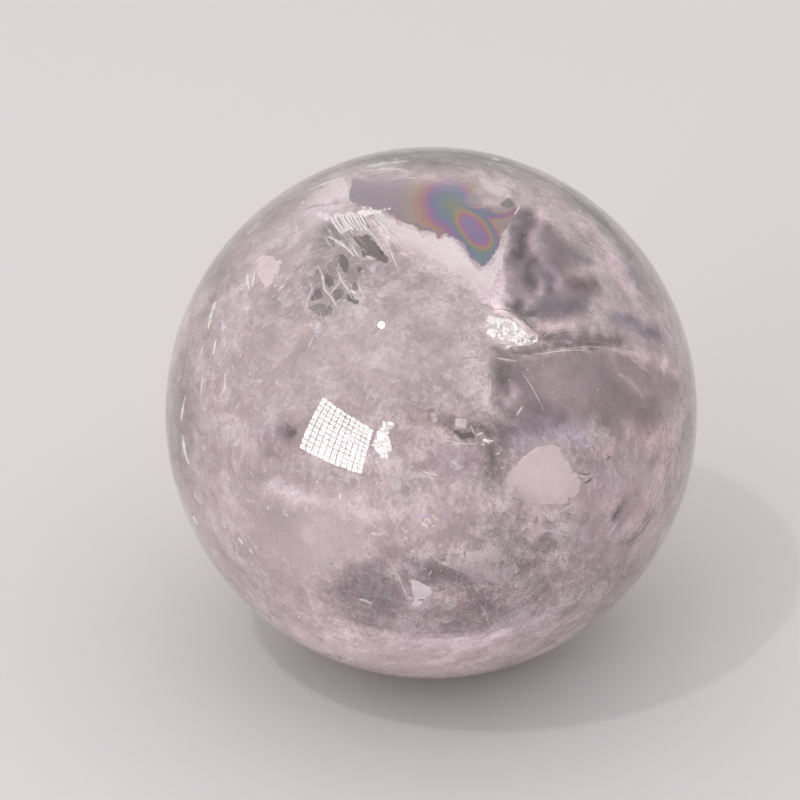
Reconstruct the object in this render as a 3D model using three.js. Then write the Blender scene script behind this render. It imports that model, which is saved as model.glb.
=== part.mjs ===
// A polished ball of clear rock quartz, ground from one crystal. It stands on a small
// flat spot ground at its foot. Veils, healed cracks and one rainbow crack lie inside the
// stone: they are flaws in the one solid and not pieces of their own.
// Millimetres, +Z up. The origin is the middle of the flat spot, on the surface below.

import * as THREE from "three";

// Driving dimensions
const BALL_DIAMETER = 60;
const FLAT_DIAMETER = 12;

// Fineness of the faceted surface
const SIDES_AROUND = 80;
const RINGS_BELOW_EQUATOR = 17;
const RINGS_ABOVE_EQUATOR = 20;

const ballRadius = BALL_DIAMETER / 2;
const flatRadius = FLAT_DIAMETER / 2;
const centreHeight = Math.sqrt(ballRadius ** 2 - flatRadius ** 2);

// Rock quartz is colourless. Its veils give it a faint, milky, rosy white.
const rockQuartz = new THREE.MeshStandardMaterial({
  color: new THREE.Color(0.86, 0.8, 0.81),
  roughness: 0.03,
  metalness: 0,
  transparent: true,
  opacity: 0.55,
});

// A point of the ball's outline, at an angle above or below the equator.
function outlinePoint(angle) {
  return new THREE.Vector2(
    ballRadius * Math.cos(angle),
    centreHeight + ballRadius * Math.sin(angle),
  );
}

// Half of the ball's outline: out along the flat spot to its edge, up the round side and
// in to the top.
function ballOutline() {
  const footAngle = -Math.acos(flatRadius / ballRadius);
  const topAngle = Math.PI / 2;
  const points = [new THREE.Vector2(0, 0)];
  for (let i = 0; i < RINGS_BELOW_EQUATOR; i++) {
    points.push(outlinePoint(footAngle * (1 - i / RINGS_BELOW_EQUATOR)));
  }
  for (let i = 0; i < RINGS_ABOVE_EQUATOR; i++) {
    points.push(outlinePoint((topAngle * i) / RINGS_ABOVE_EQUATOR));
  }
  points.push(new THREE.Vector2(0, centreHeight + ballRadius));
  return points;
}

// The foot of the outline lies at height 0 but for rounding: it is set there exactly, so
// that the flat spot is one plane.
function crystalBall() {
  const outline = ballOutline();
  outline[1].y = 0;
  const turned = new THREE.LatheGeometry(outline, SIDES_AROUND);
  turned.rotateX(Math.PI / 2);
  const ball = new THREE.Mesh(turned, rockQuartz);
  ball.name = "crystal_ball";
  return ball;
}

const part = new THREE.Group();
part.add(crystalBall());

export default part;
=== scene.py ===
import functools
import math

import bpy
import numpy as np
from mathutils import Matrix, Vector, geometry, noise


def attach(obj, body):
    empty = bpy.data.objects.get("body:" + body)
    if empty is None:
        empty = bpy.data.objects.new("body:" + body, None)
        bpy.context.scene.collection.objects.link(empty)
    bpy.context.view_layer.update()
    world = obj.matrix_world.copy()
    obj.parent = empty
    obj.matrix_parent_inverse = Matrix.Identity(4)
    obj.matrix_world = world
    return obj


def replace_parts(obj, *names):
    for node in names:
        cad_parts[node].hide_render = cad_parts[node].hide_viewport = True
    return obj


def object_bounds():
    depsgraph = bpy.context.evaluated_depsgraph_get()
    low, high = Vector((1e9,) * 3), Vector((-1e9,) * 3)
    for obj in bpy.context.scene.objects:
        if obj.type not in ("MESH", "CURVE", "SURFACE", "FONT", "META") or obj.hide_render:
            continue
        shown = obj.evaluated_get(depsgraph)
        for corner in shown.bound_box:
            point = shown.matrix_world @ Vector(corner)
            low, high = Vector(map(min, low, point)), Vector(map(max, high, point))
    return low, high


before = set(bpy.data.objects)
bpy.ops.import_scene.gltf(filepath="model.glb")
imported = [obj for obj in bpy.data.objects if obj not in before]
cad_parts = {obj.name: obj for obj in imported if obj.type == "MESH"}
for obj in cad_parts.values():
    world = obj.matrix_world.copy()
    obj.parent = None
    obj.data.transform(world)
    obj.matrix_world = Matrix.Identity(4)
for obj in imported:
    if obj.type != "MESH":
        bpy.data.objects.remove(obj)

# A polished ball of rock quartz. It is one stone: what shows inside it are its own milky
# part, healed cracks, cloudy veils, and one thin air gap with rainbow colours.
# Flaws are laid out as they are seen from the front, in mm right of and above the ball's
# centre, and are set back into the stone along the bent line of sight.

scene = bpy.context.scene
cad_low, cad_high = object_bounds()

MM = 0.001
PICTURE_PX = 800
BALL_RADIUS = (cad_high.x - cad_low.x) / 2
BALL_CENTRE = np.array([0, 0, cad_high.z - BALL_RADIUS])
QUARTZ_IOR = 1.544

CAMERA_ELEVATION = math.radians(28)
LENS = 150.0
SENSOR = 36.0
FOCAL_PX = LENS / SENSOR * PICTURE_PX
BALL_RADIUS_PX = 266.2
BALL_AT_PX = (431.2, 412.4)
CAMERA_DISTANCE = BALL_RADIUS / math.sin(math.atan(BALL_RADIUS_PX / FOCAL_PX))
RIGHT = np.array([1.0, 0, 0])
UP = np.array([0, math.sin(CAMERA_ELEVATION), math.cos(CAMERA_ELEVATION)])
BACK = np.array([0, -math.cos(CAMERA_ELEVATION), math.sin(CAMERA_ELEVATION)])
# slope of a line of sight for each metre that it seems to pass beside the centre
SLOPE = math.tan(math.asin(BALL_RADIUS / CAMERA_DISTANCE)) / BALL_RADIUS

# the search for the line of sight to a place ends a hair within the ball's limb
LIMB = 0.9995 * BALL_RADIUS
HALVINGS = 15

# all flaws lie within the first distance of the ball's centre, the milky part within the second
FLAWS_WITHIN = 0.994 * BALL_RADIUS
MILKY_WITHIN = 0.985 * BALL_RADIUS

# the grid that the milky part's surface is read from
CELL = 0.5 * MM
GRID_HALF = int(BALL_RADIUS / CELL) + 2
GRID_START = -GRID_HALF * CELL
# depths in mm: of the milky part's surface on average, how much more of the soft windows on the far
# side, of the rainbow plate, of the room behind it, and the deepest that a hollow is looked for
MILKY_SUNK = 1.2
FAR_HOLLOW = 1.2
RAINBOW_DEEP = 1.2
RAINBOW_ROOM = 1.2
DEEPEST = 12.0
# how many mm behind the skin the milky part begins at least, on the sides besides the front
SIDE_DEEP = 0.6
# how many mm the sides of a hollow go in for each mm across
HOLLOW_STEEP = 0.8
# mirror flakes wider than this many mm have a hollow behind them: its depth in mm and its steepness
WIDE_FLAKE = 0.8
FLAKE_ROOM = 1.5
FLAKE_STEEP = 2

SOFTBOX_MIDDLE = np.array((-0.415, -0.5205, 0.1728))
SOFTBOX_ACROSS = np.array((0.176, -0.291, -0.035))
SOFTBOX_UP = np.array((0.022, -0.040, 0.257))
SOFTBOX_LIGHT = 20
SOFTBOX_CELLS = 11
SOFTBOX_CLOTH = (1, 0.96, 0.97, 1)
LAMP_AIM = np.array((-0.0053, -0.0205, 0.0507))
LAMP_TOWARDS = np.array((-0.339, -0.3698, 0.8651))
FLOOR_COLOUR = (0.43, 0.412, 0.415, 1)
FLOOR_HALF = 1.5
# the corners of a flat sheet
CORNERS = ((-1, -1), (1, -1), (1, 1), (-1, 1))
WORLD_COLOUR = (0.5, 0.48, 0.485, 1)
HORIZON_LIGHT = 1.15
ZENITH_LIGHT = 3.1

# painted glint: a plain white that stands in for light thrown back, on strokes and faces; also the white of
# the tiny specks
PAINTED_GLINT_AND_SPECK = (1.0, 0.99, 0.99)
BRIGHT = (0.97, 0.92, 0.93)
ROSY_WHITE = (0.90, 0.83, 0.84)
PALE_BLUE = (0.84, 0.83, 0.90)
LAVENDER = (0.87, 0.82, 0.89)
DUSK = (0.14, 0.11, 0.11)
# painted warm glint: a warm white for strokes that stand in for light thrown back
PAINTED_WARM_GLINT = (1.0, 0.97, 0.82)
DIM = (0.12, 0.10, 0.097)

# the milky part's own colours, and the stretched grain, the angular chips (size, share) and the
# veins (scale, turn, share) that they follow
MILKY_STOPS = ((0.05, (0.47, 0.385, 0.40)), (0.45, (0.63, 0.53, 0.55)), (0.95, (0.86, 0.77, 0.785)))
MOTTLE_TURN = (0.5, 0.3, 0.9)
MOTTLE_STRETCH = (1.0, 1.6, 0.55)
CHIPS = ((2.6 * MM, 0.07), (1.1 * MM, 0.10))
CHIP_WARP = 0.9
NOISE_MEAN = 0.5
LARGE_SHARE = 0.44
FINE_SHARE = 0.40
VEINS = ((420, (0.3, 0.9, 0.2), 0.22), (900, (1.1, 0.2, 0.7), 0.22))
VEIN_WIDTH = 0.022
VEIN_MEAN = 0.06
# the mix node's numbers for its plain and its colour sockets
MIX_VALUE_A, MIX_VALUE_B = 2, 3
MIX_COLOUR_A, MIX_COLOUR_B, MIX_COLOUR_OUT = 6, 7, 2
# share of the light that a cloudy sheet lets through to its far side
LET_THROUGH = 0.1

# colours of the air gap by its width, a painted sheen: the rainbow that light reflected in the gap shows,
# set as the sheet's own colour
PAINTED_RAINBOW_SHEEN = (
    (0.10, (0.240, 0.192, 0.237)), (0.19, (0.280, 0.221, 0.261)), (0.27, (0.337, 0.256, 0.199)),
    (0.35, (0.371, 0.188, 0.119)), (0.41, (0.312, 0.088, 0.189)), (0.455, (0.176, 0.082, 0.277)),
    (0.51, (0.090, 0.141, 0.285)), (0.565, (0.075, 0.182, 0.182)), (0.62, (0.147, 0.186, 0.108)),
    (0.68, (0.344, 0.239, 0.082)), (0.74, (0.366, 0.137, 0.114)), (0.80, (0.321, 0.082, 0.207)),
    (0.87, (0.194, 0.105, 0.321)), (0.93, (0.122, 0.139, 0.326)),
)

# seeds of the random draws
SPECK_SEED = 5
SHARD_SEED = 21
PATCH_SEED = 14
LINE_SEED = 8
FLAKE_SEED = 31
RAINBOW_SEED = 77
PLACES_AT_ONCE = 60000

SPECKS = 3500
SPECK_SIZE = (0.03, 0.09)
MIRROR_SHARE = 0.15

SHARDS = 2600
SHARD_CORNERS = 7
# a shard has a point in front and one at the back as well
SHARD_PLACES = SHARD_CORNERS + 2
# directions that the stone's cracks favour
CRACK_NORMALS = ((0.75, -0.35, 0.56), (-0.62, -0.60, 0.50), (0.15, 0.85, 0.50), (0.2, -0.9, 0.35))

# how far the border value rises above the noise in the middle of a face: whole, or broken up by it
# where the face is at least this ragged
BORDER_FULL = 1.6
BORDER_BROKEN = 0.82
BROKEN_FROM = 0.35
# an edge at least this soft, in mm, fades out as well
FADING_EDGE = 0.8

# across a streak: the place from edge to edge, how far it stands forward, and its opacity
STREAK_SECTION = ((-1.0, 0.0, 0.0), (-0.5, 0.6, 0.8), (0.0, 1.0, 1.0), (0.5, 0.6, 0.8),
                  (1.0, 0.0, 0.0), (0.0, -0.6, 0.0))
STREAK_RISE = 0.05
STRANDS = 8
FIRST_STRAND = (-11.3, 22.4)
NEXT_STRAND = (0.47, 0.0)

# the sides besides the front that get patches and lines: degrees round the upright axis
SIDES = (95, 180, 265)
# places that lie less far forward than this share of the radius are out of sight from the front
OUT_OF_SIGHT = 0.08
# the patches and all short lines lie at most this many mm off the middle, as seen
PATCHES_WITHIN = 23
LINES_WITHIN = 28.3
PATCHES = 34
# tint, opacity, width of the soft edge and its raggedness in mm
PATCH_KINDS = ((BRIGHT, 0.85, 0.3, 0.3), (ROSY_WHITE, 0.7, 0.8, 0.3), (PALE_BLUE, 0.6, 0.7, 0.3),
               (DIM, 0.6, 0.5, 0.4), (DIM, 0.45, 1.2, 0.5))

# Layout of the front, in mm as seen right of and above the ball's centre.

RAINBOW = ((-9.2, 26.4), (-9.6, 24.0), (-8.5, 23.2), (-7.0, 22.9), (-5.4, 22.7), (-3.9, 21.6),
           (-2.0, 20.9), (-1.0, 20.3), (0.3, 20.3), (0.8, 19.5), (1.3, 20.0), (2.5, 19.8), (3.6, 18.8),
           (4.4, 17.4), (5.3, 16.4), (6.0, 16.4), (6.8, 17.4), (7.5, 18.6), (8.1, 20.2), (8.8, 21.6),
           (9.8, 23.0), (9.7, 25.0), (7.1, 27.0), (3.5, 27.9), (0.7, 28.1), (-1.6, 27.9), (-2.6, 27.0),
           (-6.6, 26.8))
TOP_WINDOW = ((9.2, 23.2), (10.6, 23.0), (12.8, 21.5), (14.5, 20.3), (16.6, 18.8), (17.9, 17.0),
              (18.1, 13.8), (16.8, 11.5), (14.5, 10.6), (11.7, 10.9), (9.4, 12.2), (8.3, 13.6),
              (8.2, 16.5), (8.4, 18.6))
GREY_WINDOW = ((6.9, 5.9), (8.6, 6.6), (13.0, 6.9), (17.6, 7.4), (21.5, 6.8), (25.0, 5.6), (27.0, 3.6),
               (27.2, 1.2), (25.2, -1.0), (21.3, -2.0), (16.8, -1.4), (12.8, -1.6), (9.4, -1.2),
               (6.9, 1.2))
RIGHT_LOW = ((18.0, -3.8), (23.1, -6.4), (25.6, -8.9), (24.3, -12.7), (20.5, -16.5), (16.7, -14.0),
             (15.4, -8.9))
LOW_WINDOW = ((-12.0, -21.2), (-10.6, -18.9), (-8.4, -17.0), (-5.0, -16.0), (-2.6, -14.8), (1.0, -15.6),
              (4.5, -17.0), (8.0, -16.0), (11.0, -15.3), (14.2, -16.6), (14.2, -21.9), (10.0, -23.9),
              (6.0, -24.8), (2.0, -25.4), (-2.5, -25.3), (-6.9, -24.0), (-10.5, -23.2))
PINK_PLATE = ((12.0, -3.6), (13.2, -3.4), (14.5, -3.5), (15.1, -4.5), (15.9, -5.9), (16.6, -6.9),
              (17.2, -8.1), (16.4, -9.5), (14.9, -10.5), (13.9, -10.3), (12.4, -10.5), (10.8, -10.2),
              (9.0, -9.4), (7.6, -8.2), (8.5, -6.8), (9.7, -5.3), (11.0, -4.2))

# areas without short lines
CALM_AREAS = (TOP_WINDOW, GREY_WINDOW, RAINBOW, PINK_PLATE)

# outline, depth of the hollow in mm, tone, softness of its edge in mm, and how much softer it gets for
# each mm to the right and upwards
CLEARINGS = (
    (TOP_WINDOW, 2.0, (0.54, 0.52, 0.54), 0.6, 0.14, -0.04),
    (GREY_WINDOW, 1.6, (0.62, 0.59, 0.61), 1.0, 0.12, -0.28),
    (RIGHT_LOW, 1.2, (0.97, 0.95, 0.98), 2.2, 0.0, 0.0),
    (LOW_WINDOW, 1.2, (0.80, 0.79, 0.81), 0.8, 0.0, 0.12),
)

# soft shades: x, y, half width, half height, degrees that the width leans up, and tone
SHADES = (
    (-18.2, 12.8, 2, 1.2, 0, 0.83),
    (-11, 13.6, 3.2, 2.8, 0, 0.71),
    (-9.6, 18.4, 3.6, 2.8, -30, 0.69),
    (-15.5, 20, 4, 4, 0, 0.88),
    (-28.6, -2, 2, 8, 0, 0.62),
    (-11.8, 19.6, 1.8, 1.6, -30, 0.68),
    (-2.6, 15.4, 3.4, 1.6, -20, 0.8),
    (-4, 12, 3, 1.8, 0, 0.9),
    (-24.6, 16, 2, 2.4, 35, 0.7),
    (-19.6, -8.6, 2.6, 1.6, 0, 0.82),
    (-16.4, -12, 2.6, 1.6, 0, 0.84),
    (16.4, -3.6, 1.6, 1.4, 0, 1.19),
    (16.4, -12.2, 1.8, 1.4, 0, 0.86),
    (12, -16.6, 2.4, 1.6, 0, 1.18),
    (7.6, -20.4, 5, 2, 0, 1.15),
    (24.2, 4, 1.8, 2, 0, 1.21),
    (8, 3.8, 1.6, 1.8, 0, 0.75),
    (8, 14.6, 0.9, 2.6, 0, 1.29),
    (20, -4, 2.6, 2, 0, 1.11),
    # painted shade: the top of the rim darker, for the dark reflection it would show
    (0, 28.4, 8, 1, 0, 0.64),
    (2, 16, 4, 2.4, 0, 0.92),
    (24, -12, 3, 4, 0, 1.2),
    (12, -12, 3, 1.6, 0, 1.1),
    (2.3, -1.2, 0.5, 0.9, 0, (0.6, 0.55, 0.54)),
    (7.6, -2.2, 1.6, 1.6, 0, 0.78),
    (-0.4, -0.7, 2.2, 1.1, -10, (0.76, 0.7, 0.68)),
    (-4.3, 0.5, 0.9, 0.9, 0, 0.77),
    (2.5, -5.6, 3.2, 2, -5, (0.9, 0.88, 0.92)),
    (-1.6, 1.2, 2.2, 1.1, 20, 0.86),
    (-2.7, -8.8, 1.2, 1.8, 35, 0.76),
    (7.5, -6.9, 1.8, 1.6, 0, 0.8),
    (-12.6, -6.8, 5, 1.6, -12, 0.82),
    (-15.9, -2.4, 0.75, 0.75, 0, 0.46),
    (-17.3, -2.6, 1.6, 1.2, 0, (0.85, 0.84, 0.88)),
    (-18.5, 4, 8, 12, 0, 0.86),
    (-12, 16, 6, 6, 0, 0.9),
    (-8, 3.5, 9, 7, 0, 0.88),
    (1.5, 9, 6.5, 5, 0, 0.9),
    (3, 0, 4.5, 4.5, 0, 0.92),
    (-17.5, -16.5, 3, 3, 0, 0.87),
    (-8, -20, 3.6, 2.4, -10, 0.9),
    (4.6, -22.4, 2.2, 2, 0, 0.91),
    (1.5, -18.2, 3.2, 0.9, -12, 0.79),
    (10, -17.2, 2.5, 1.6, 0, 0.86),
    (7.6, -12.8, 3.6, 0.9, 5, 0.84),
    (14.2, -14.6, 2.6, 0.8, 8, 0.8),
    (-12.6, 22.6, 1.8, 1, 5, (1.22, 1.22, 1.28)),
    (-14, 9.3, 2.2, 0.7, -5, 1.12),
    (-11.5, 26, 4, 0.8, 24, 1.09),
    (6.9, 14.6, 1.2, 3, 0, (1.14, 1.13, 1.18)),
    (21.5, 18.5, 2.2, 3.6, -35, 1.08),
    (22.5, 8.6, 4, 0.8, -12, 1.06),
    (-11.6, -9.9, 7.5, 0.9, -11, 1.11),
    (25.5, -4, 1.6, 2.6, 0, (1.12, 1.08, 1.08)),
)

# where the mottling is stronger or weaker: x, y, half width, half height, lean, and how much
MOTTLING = (
    (-8.5, 18.5, 5.5, 4, -35, 0.6),
    (-11, 13.5, 4, 3, 0, 0.6),
    (1, -20, 13.5, 4.8, 0, 0.8),
    (10, -14.5, 6, 3, 0, 0.7),
    (1.5, -4, 6.5, 5.5, 0, 0.4),
    (2.5, -5.6, 3.2, 2, -5, -0.7),
    (-11.5, -14.6, 9, 4, -18, -0.95),
    (-0.5, 18.6, 5.5, 1.5, -32, -0.7),
    (-19, 20, 7, 5, 35, -0.5),
    (-12, 5, 9, 5, 0, -0.3),
    (0, 9, 8, 4, 0, -0.25),
    (0, -27.5, 16, 2, 0, -0.5),
    (22, 12, 5, 8, -30, -0.4),
    (21, -10, 5, 6, 0, -0.5),
    (-21, -2, 7, 14, 0, -0.3),
    (-16, -19, 6, 6, 0, -0.45),
)

# where the rainbow's air gap is widest, the plate's lower tip, and the middle of a small arc
FIRST_PEAK = (2.2, 23.6)
SECOND_PEAK = (4.9, 20.7)
TIP = (5.6, 19.6)
ARC = (7.6, 23.2)

# outline, tint, opacity, width of the soft edge in mm, its raggedness in mm, and from where to where it
# fades out, if it does
FACES = {
    "ragged_white": (((-8.9, 22.3), (-8.3, 23), (-7.2, 22.9), (-6.2, 23), (-5.3, 22.8), (-5.2, 22.4),
     (-5.8, 22.2), (-7, 22), (-8.2, 21.9)), (1, 0.96, 0.95), 1, 0.15, 0.3),
    "blue_cloud": (((-6.6, 22.3), (-5.2, 21.9), (-4, 21.2), (-2.6, 20.8), (-2.2, 19.6), (-3, 18.9),
     (-4, 19.2), (-5.2, 20.4), (-6.2, 21.4)), (0.9, 0.87, 0.97), 0.6, 1.1, 0.25),
    "white_cloud": (((-13.2, 22.6), (-12, 23.1), (-11.3, 22.6), (-11, 21.6), (-11.9, 21.1),
     (-13, 21.5)), (0.97, 0.93, 0.98), 0.9, 0.8, 0.25),
    "fringe": (((-11.4, 22.5), (-9, 22.8), (-7.8, 21.6), (-7.6, 20.5), (-9, 20.4), (-10.2, 19.9),
     (-11, 20.6)), BRIGHT, 0.7, 0.5, 0.3),
    "scallops": (((-6.6, 22.6), (-5.4, 22.5), (-3.9, 21.5), (-2, 20.7), (-1, 20.1), (0.3, 20.2),
     (0.8, 19.5), (1.3, 20), (2.4, 19.7), (3.4, 18.7), (4.2, 17.3), (5.2, 16.3), (6.2, 16.3), (7, 17.4),
     (7.8, 18.8), (8.5, 20.4), (8.5, 18.4), (7.9, 16), (6.6, 13.4), (4.4, 13.2), (1.4, 14.6),
     (-1.6, 16.4), (-4.4, 18.2), (-6.6, 20.4)), ROSY_WHITE, 0.9, 0.25, 0.1, ((-0.5, 19.9), (-2, 17.4))),
    "haze": (((4.6, 27.2), (8.6, 26.6), (9.8, 25), (9.4, 23.9), (7.6, 23.6), (6.2, 24.2), (4.8, 25)),
     (0.86, 0.78, 0.8), 0.85, 1.2, 0.3),
    "grey_wash": (((2.6, 23.6), (3.8, 25), (5.6, 25.2), (6.6, 24.2), (5.8, 22.9), (4.2, 22.5),
     (3, 22.8)), (0.36, 0.33, 0.34), 0.6, 0.9, 0.3),
    "dark_bit": (((7.9, 25.5), (8.9, 25.7), (9.4, 25), (8.8, 24.5), (8, 24.8)), DIM, 0.6, 0.3, 0.2),
    "dark_end": (((7.4, 24), (8.6, 24.3), (9.5, 23.5), (8.9, 22.9), (7.8, 23.2)), DIM, 0.75, 0.25, 0.2),
    "heart": (((-20, 17.6), (-19, 17.8), (-17.8, 17.6), (-16.9, 17), (-17.1, 16), (-17.6, 14.9),
     (-18, 14.1), (-18.8, 13.8), (-19.4, 14.7), (-19.9, 15.9)), (0.8, 0.69, 0.7), 1, 0.08, 0.1),
    # painted glint: a white face where the chevron throws light back
    "chevron_painted_glint": (((6.3, 11.2), (7.8, 11), (9.4, 10.4), (10.7, 9.3), (11.9, 8.4), (10.6, 8),
     (9, 7.9), (7.6, 8.3), (6.2, 8.6), (6.9, 9.4), (5.9, 10)), (1, 1, 1), 1, 0.6, 0.3),
    "pink_plate": (PINK_PLATE, (0.9, 0.79, 0.8), 1, 0.06, 0, ((12.2, -6.4), (7.6, -11.6))),
    "pale_chip": (((-8, 17.1), (-6.6, 16.7), (-5.9, 15.9), (-6.6, 14.9), (-7.3, 15.6)), PALE_BLUE, 0.6,
     0.5, 0.2),
    # painted glint: a white face at the foot
    "low_painted_glint": (((-9.8, -27), (-9, -27.3), (-8, -28), (-7.6, -28.5), (-8.6, -28.3), (-9.5, -27.8)),
     (1, 1, 1), 1, 0.1, 0.12),
    "ridge": (((-20.8, -7.4), (-18.4, -7.4), (-16.8, -6.9), (-14.6, -7.6), (-11.4, -8.2), (-10, -9.2),
     (-7, -9.8), (-2.9, -11.8), (-4.4, -13), (-7.4, -12.7), (-9.4, -11.8), (-11.4, -11),
     (-15, -10.5), (-18.4, -9.4)), (0.94, 0.87, 0.92), 0.5, 0.8, 0.5, ((-11.8, -11.4), (-10.4, -7.2))),
    "ridge_core": (((-17.4, -7.9), (-16, -7.8), (-13.4, -8.6), (-11.8, -9), (-10.8, -10),
     (-12, -10.6), (-14.4, -10.3), (-17, -9.5)), (0.96, 0.9, 0.95), 0.4, 0.9, 0.4),
    # dark openings between the milky sheets
    "brown_pocket": (((-9.4, 20.5), (-8.4, 20.2), (-7.9, 19.8), (-7.6, 20.2), (-7, 20.1), (-6.6, 19.7),
     (-6, 19.1), (-5.4, 18.2), (-4.9, 17.4), (-4.7, 16.8), (-5.2, 16.7), (-5.9, 16.7), (-6.5, 17.2),
     (-7.2, 17.6), (-7.9, 17.3), (-8.2, 17.8), (-8.6, 18.6), (-8.9, 19.3)), (0.12, 0.09, 0.08), 0.9,
     0.2, 0.2),
    # painted shadow in the deep end of the brown pocket
    "pocket_painted_shadow": (((-6.7, 19.6), (-6, 19), (-5.4, 18.1), (-4.9, 17.4), (-4.8, 16.9), (-5.5, 16.8),
     (-6, 17.4), (-6.4, 18.4)), (0.05, 0.045, 0.06), 0.75, 0.5, 0.15),
    "slim_pocket": (((-7.9, 21.4), (-7.2, 21.3), (-6.7, 20.7), (-6.3, 19.8), (-5.9, 18.8), (-5.3, 17.9),
     (-6, 18.4), (-6.5, 19.4), (-6.9, 20.2), (-7.5, 20.8)), (0.11, 0.1, 0.12), 0.85, 0.15, 0.1),
    "left_slot": (((-11.7, 19.3), (-11.2, 19.1), (-10.6, 18.6), (-10, 18), (-10.5, 18), (-11.2, 18.5)),
     DIM, 0.8, 0.12, 0.1),
    "left_pocket": (((-11.3, 18.1), (-10.6, 17.9), (-10, 17.8), (-9.4, 17.5), (-9.3, 16.9),
     (-9.4, 16.1), (-9.8, 15.4), (-10.2, 15.5), (-10.3, 16.3), (-10.7, 17), (-11.2, 17.5)), DIM, 0.85,
     0.15, 0.15),
    "small_gap": (((-10.7, 19.7), (-10.3, 20.2), (-9.7, 19.7)), DIM, 0.75, 0.1, 0.1),
    "lower_gap": (((-7.9, 16.9), (-7.3, 15.5), (-8.6, 15.6), (-8.4, 16.4)), DIM, 0.7, 0.15, 0.1),
    # the cells of the grey net
    "net_top": (((-13.1, 16.5), (-12.2, 16.1), (-12.7, 15.2), (-13.3, 15.5)), DIM, 0.6, 0.2, 0.3),
    "net_middle": (((-12, 15.9), (-11.3, 15.4), (-10.8, 14.7), (-11.2, 13.9), (-11.9, 13.8),
     (-12.3, 14.7)), DIM, 0.75, 0.2, 0.3),
    "net_left": (((-13.4, 14), (-12.5, 14), (-12, 13.1), (-12.4, 12.6), (-13.2, 12.4), (-13.9, 12.8)),
     (0.12, 0.09, 0.115), 0.7, 0.25, 0.3),
    "net_right": (((-11.5, 13.5), (-10.6, 14.2), (-9.6, 13.7), (-9.8, 12.9), (-10.7, 12.5),
     (-11.2, 12.8)), DIM, 0.6, 0.3, 0.3),
    "net_low": (((-14.1, 12.3), (-11.6, 12.5), (-10.7, 11.6), (-11.1, 10.7), (-13, 10.7),
     (-14.1, 11.6)), DIM, 0.5, 0.6, 0.3),
    "net_end": (((-9.8, 13.5), (-8.9, 13.3), (-8, 12.6), (-8, 12), (-8.8, 12), (-9.5, 12.4)),
     (0.08, 0.06, 0.065), 0.75, 0.2, 0.25),
    "net_far": (((-9.2, 14.6), (-8.5, 14.8), (-7.7, 13.9), (-8.2, 13.5), (-8.9, 13.8)), DIM, 0.6, 0.2,
     0.2),
    # painted glint: a white face under the mirror flakes beside the soft box
    "painted_flash": (((-6.4, -3.6), (-5.9, -2.6), (-5.3, -1.5), (-4.5, -1.3), (-4.8, -2.3), (-5, -3),
     (-4.7, -4), (-4.8, -5.1), (-5.6, -5.2), (-5.9, -4.2)), (1, 1, 1), 1, 0.4, 0.25),
    "centre_pocket": (((2.2, -2), (2.9, -1.8), (3.6, -2.2), (4.4, -1.9), (5, -2.6), (5.6, -2.9),
     (5.2, -3.3), (4.2, -3), (3.5, -3.3), (3.1, -2.7)), (0.13, 0.105, 0.1), 0.8, 0.25, 0.3),
    "pale_patch": (((2.6, -0.6), (3.4, -0.2), (4, -0.9), (4.3, -1.9), (3.2, -2), (2.5, -1.5)),
     ROSY_WHITE, 0.6, 0.3, 0.2),
    # painted glints: white faces in the shape of a blade and a leaf
    "painted_glint_blade": (((5.3, -3.2), (6.2, -2.9), (7, -3.1), (6.4, -3.5), (5.5, -3.6)), PAINTED_GLINT_AND_SPECK, 1, 0.08, 0.1),
    "painted_glint_leaf": (((4.7, -2.1), (5.9, -2.1), (5.3, -2.7), (4.9, -2.6)), PAINTED_GLINT_AND_SPECK, 0.9, 0.08, 0.1),
    "centre_slot": (((4.2, -0.8), (5.4, -1), (6.6, -1.8), (6.4, -2.3), (5.2, -1.7), (4.2, -1.4)),
     (0.2, 0.17, 0.165), 0.7, 0.3, 0.3),
    "round_pocket": (((-16.9, -1.8), (-16, -1.2), (-15.1, -1.6), (-14.8, -2.6), (-15.4, -3.5),
     (-16.6, -3.3)), (0.16, 0.13, 0.125), 0.75, 0.8, 0.3),
    "grey_blob": (((7.2, 6.3), (8.4, 6.4), (9.6, 5.8), (9.2, 4.4), (8.6, 3.2), (7.8, 2.4), (7, 2.6),
     (7, 4.2)), (0.18, 0.15, 0.145), 0.7, 0.9, 0.3),
    # the low window's dark patches, and what lies in it
    "low_left": (((-11.6, -20.5), (-10.1, -18.7), (-8, -17.2), (-5, -16.9), (-4.4, -17.8),
     (-3.5, -19.9), (-2.6, -20.8), (-2.3, -22), (-4.1, -23.3), (-6.5, -23.9), (-9.2, -23.9),
     (-11, -22.7)), (0.24, 0.215, 0.22), 0.28, 1.2, 0.9),
    "low_middle": (((-2.9, -16), (0.5, -15.7), (2.9, -17.5), (4.1, -18.7), (3.8, -19.9), (1.1, -19.3),
     (0.2, -18.7), (-2, -18.4), (-3.2, -17.5)), (0.22, 0.195, 0.2), 0.35, 0.7, 0.8),
    "low_right": (((2.9, -21.4), (5.3, -20.2), (7.1, -21.1), (11.9, -21.1), (13.7, -22), (10.1, -23.3),
     (6.8, -24.2), (2.9, -24.8), (0.2, -24.8), (1.1, -23.3)), (0.24, 0.215, 0.22), 0.22, 0.9, 0.8),
    "right_low": (((5.3, -12.1), (8.9, -11.5), (11, -12.7), (13.1, -14.8), (14.9, -14.8), (13.1, -16),
     (10.1, -16.6), (8.3, -17.8), (7.1, -16), (5.3, -13.9)), (0.28, 0.26, 0.27), 0.45, 1.6, 0.9),
    "triangle": (((-2.5, -18.6), (-0.8, -19.2), (0.9, -20.1), (-0.3, -20.9), (-1.1, -21.9),
     (-2.1, -22.1), (-2, -20.7)), (0.98, 0.92, 0.95), 1, 0.25, 0.05),
    "pale_rag": (((1.9, -20.4), (3.2, -20.1), (3.6, -21), (2.8, -22), (2, -23.2), (0.9, -23.8),
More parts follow.
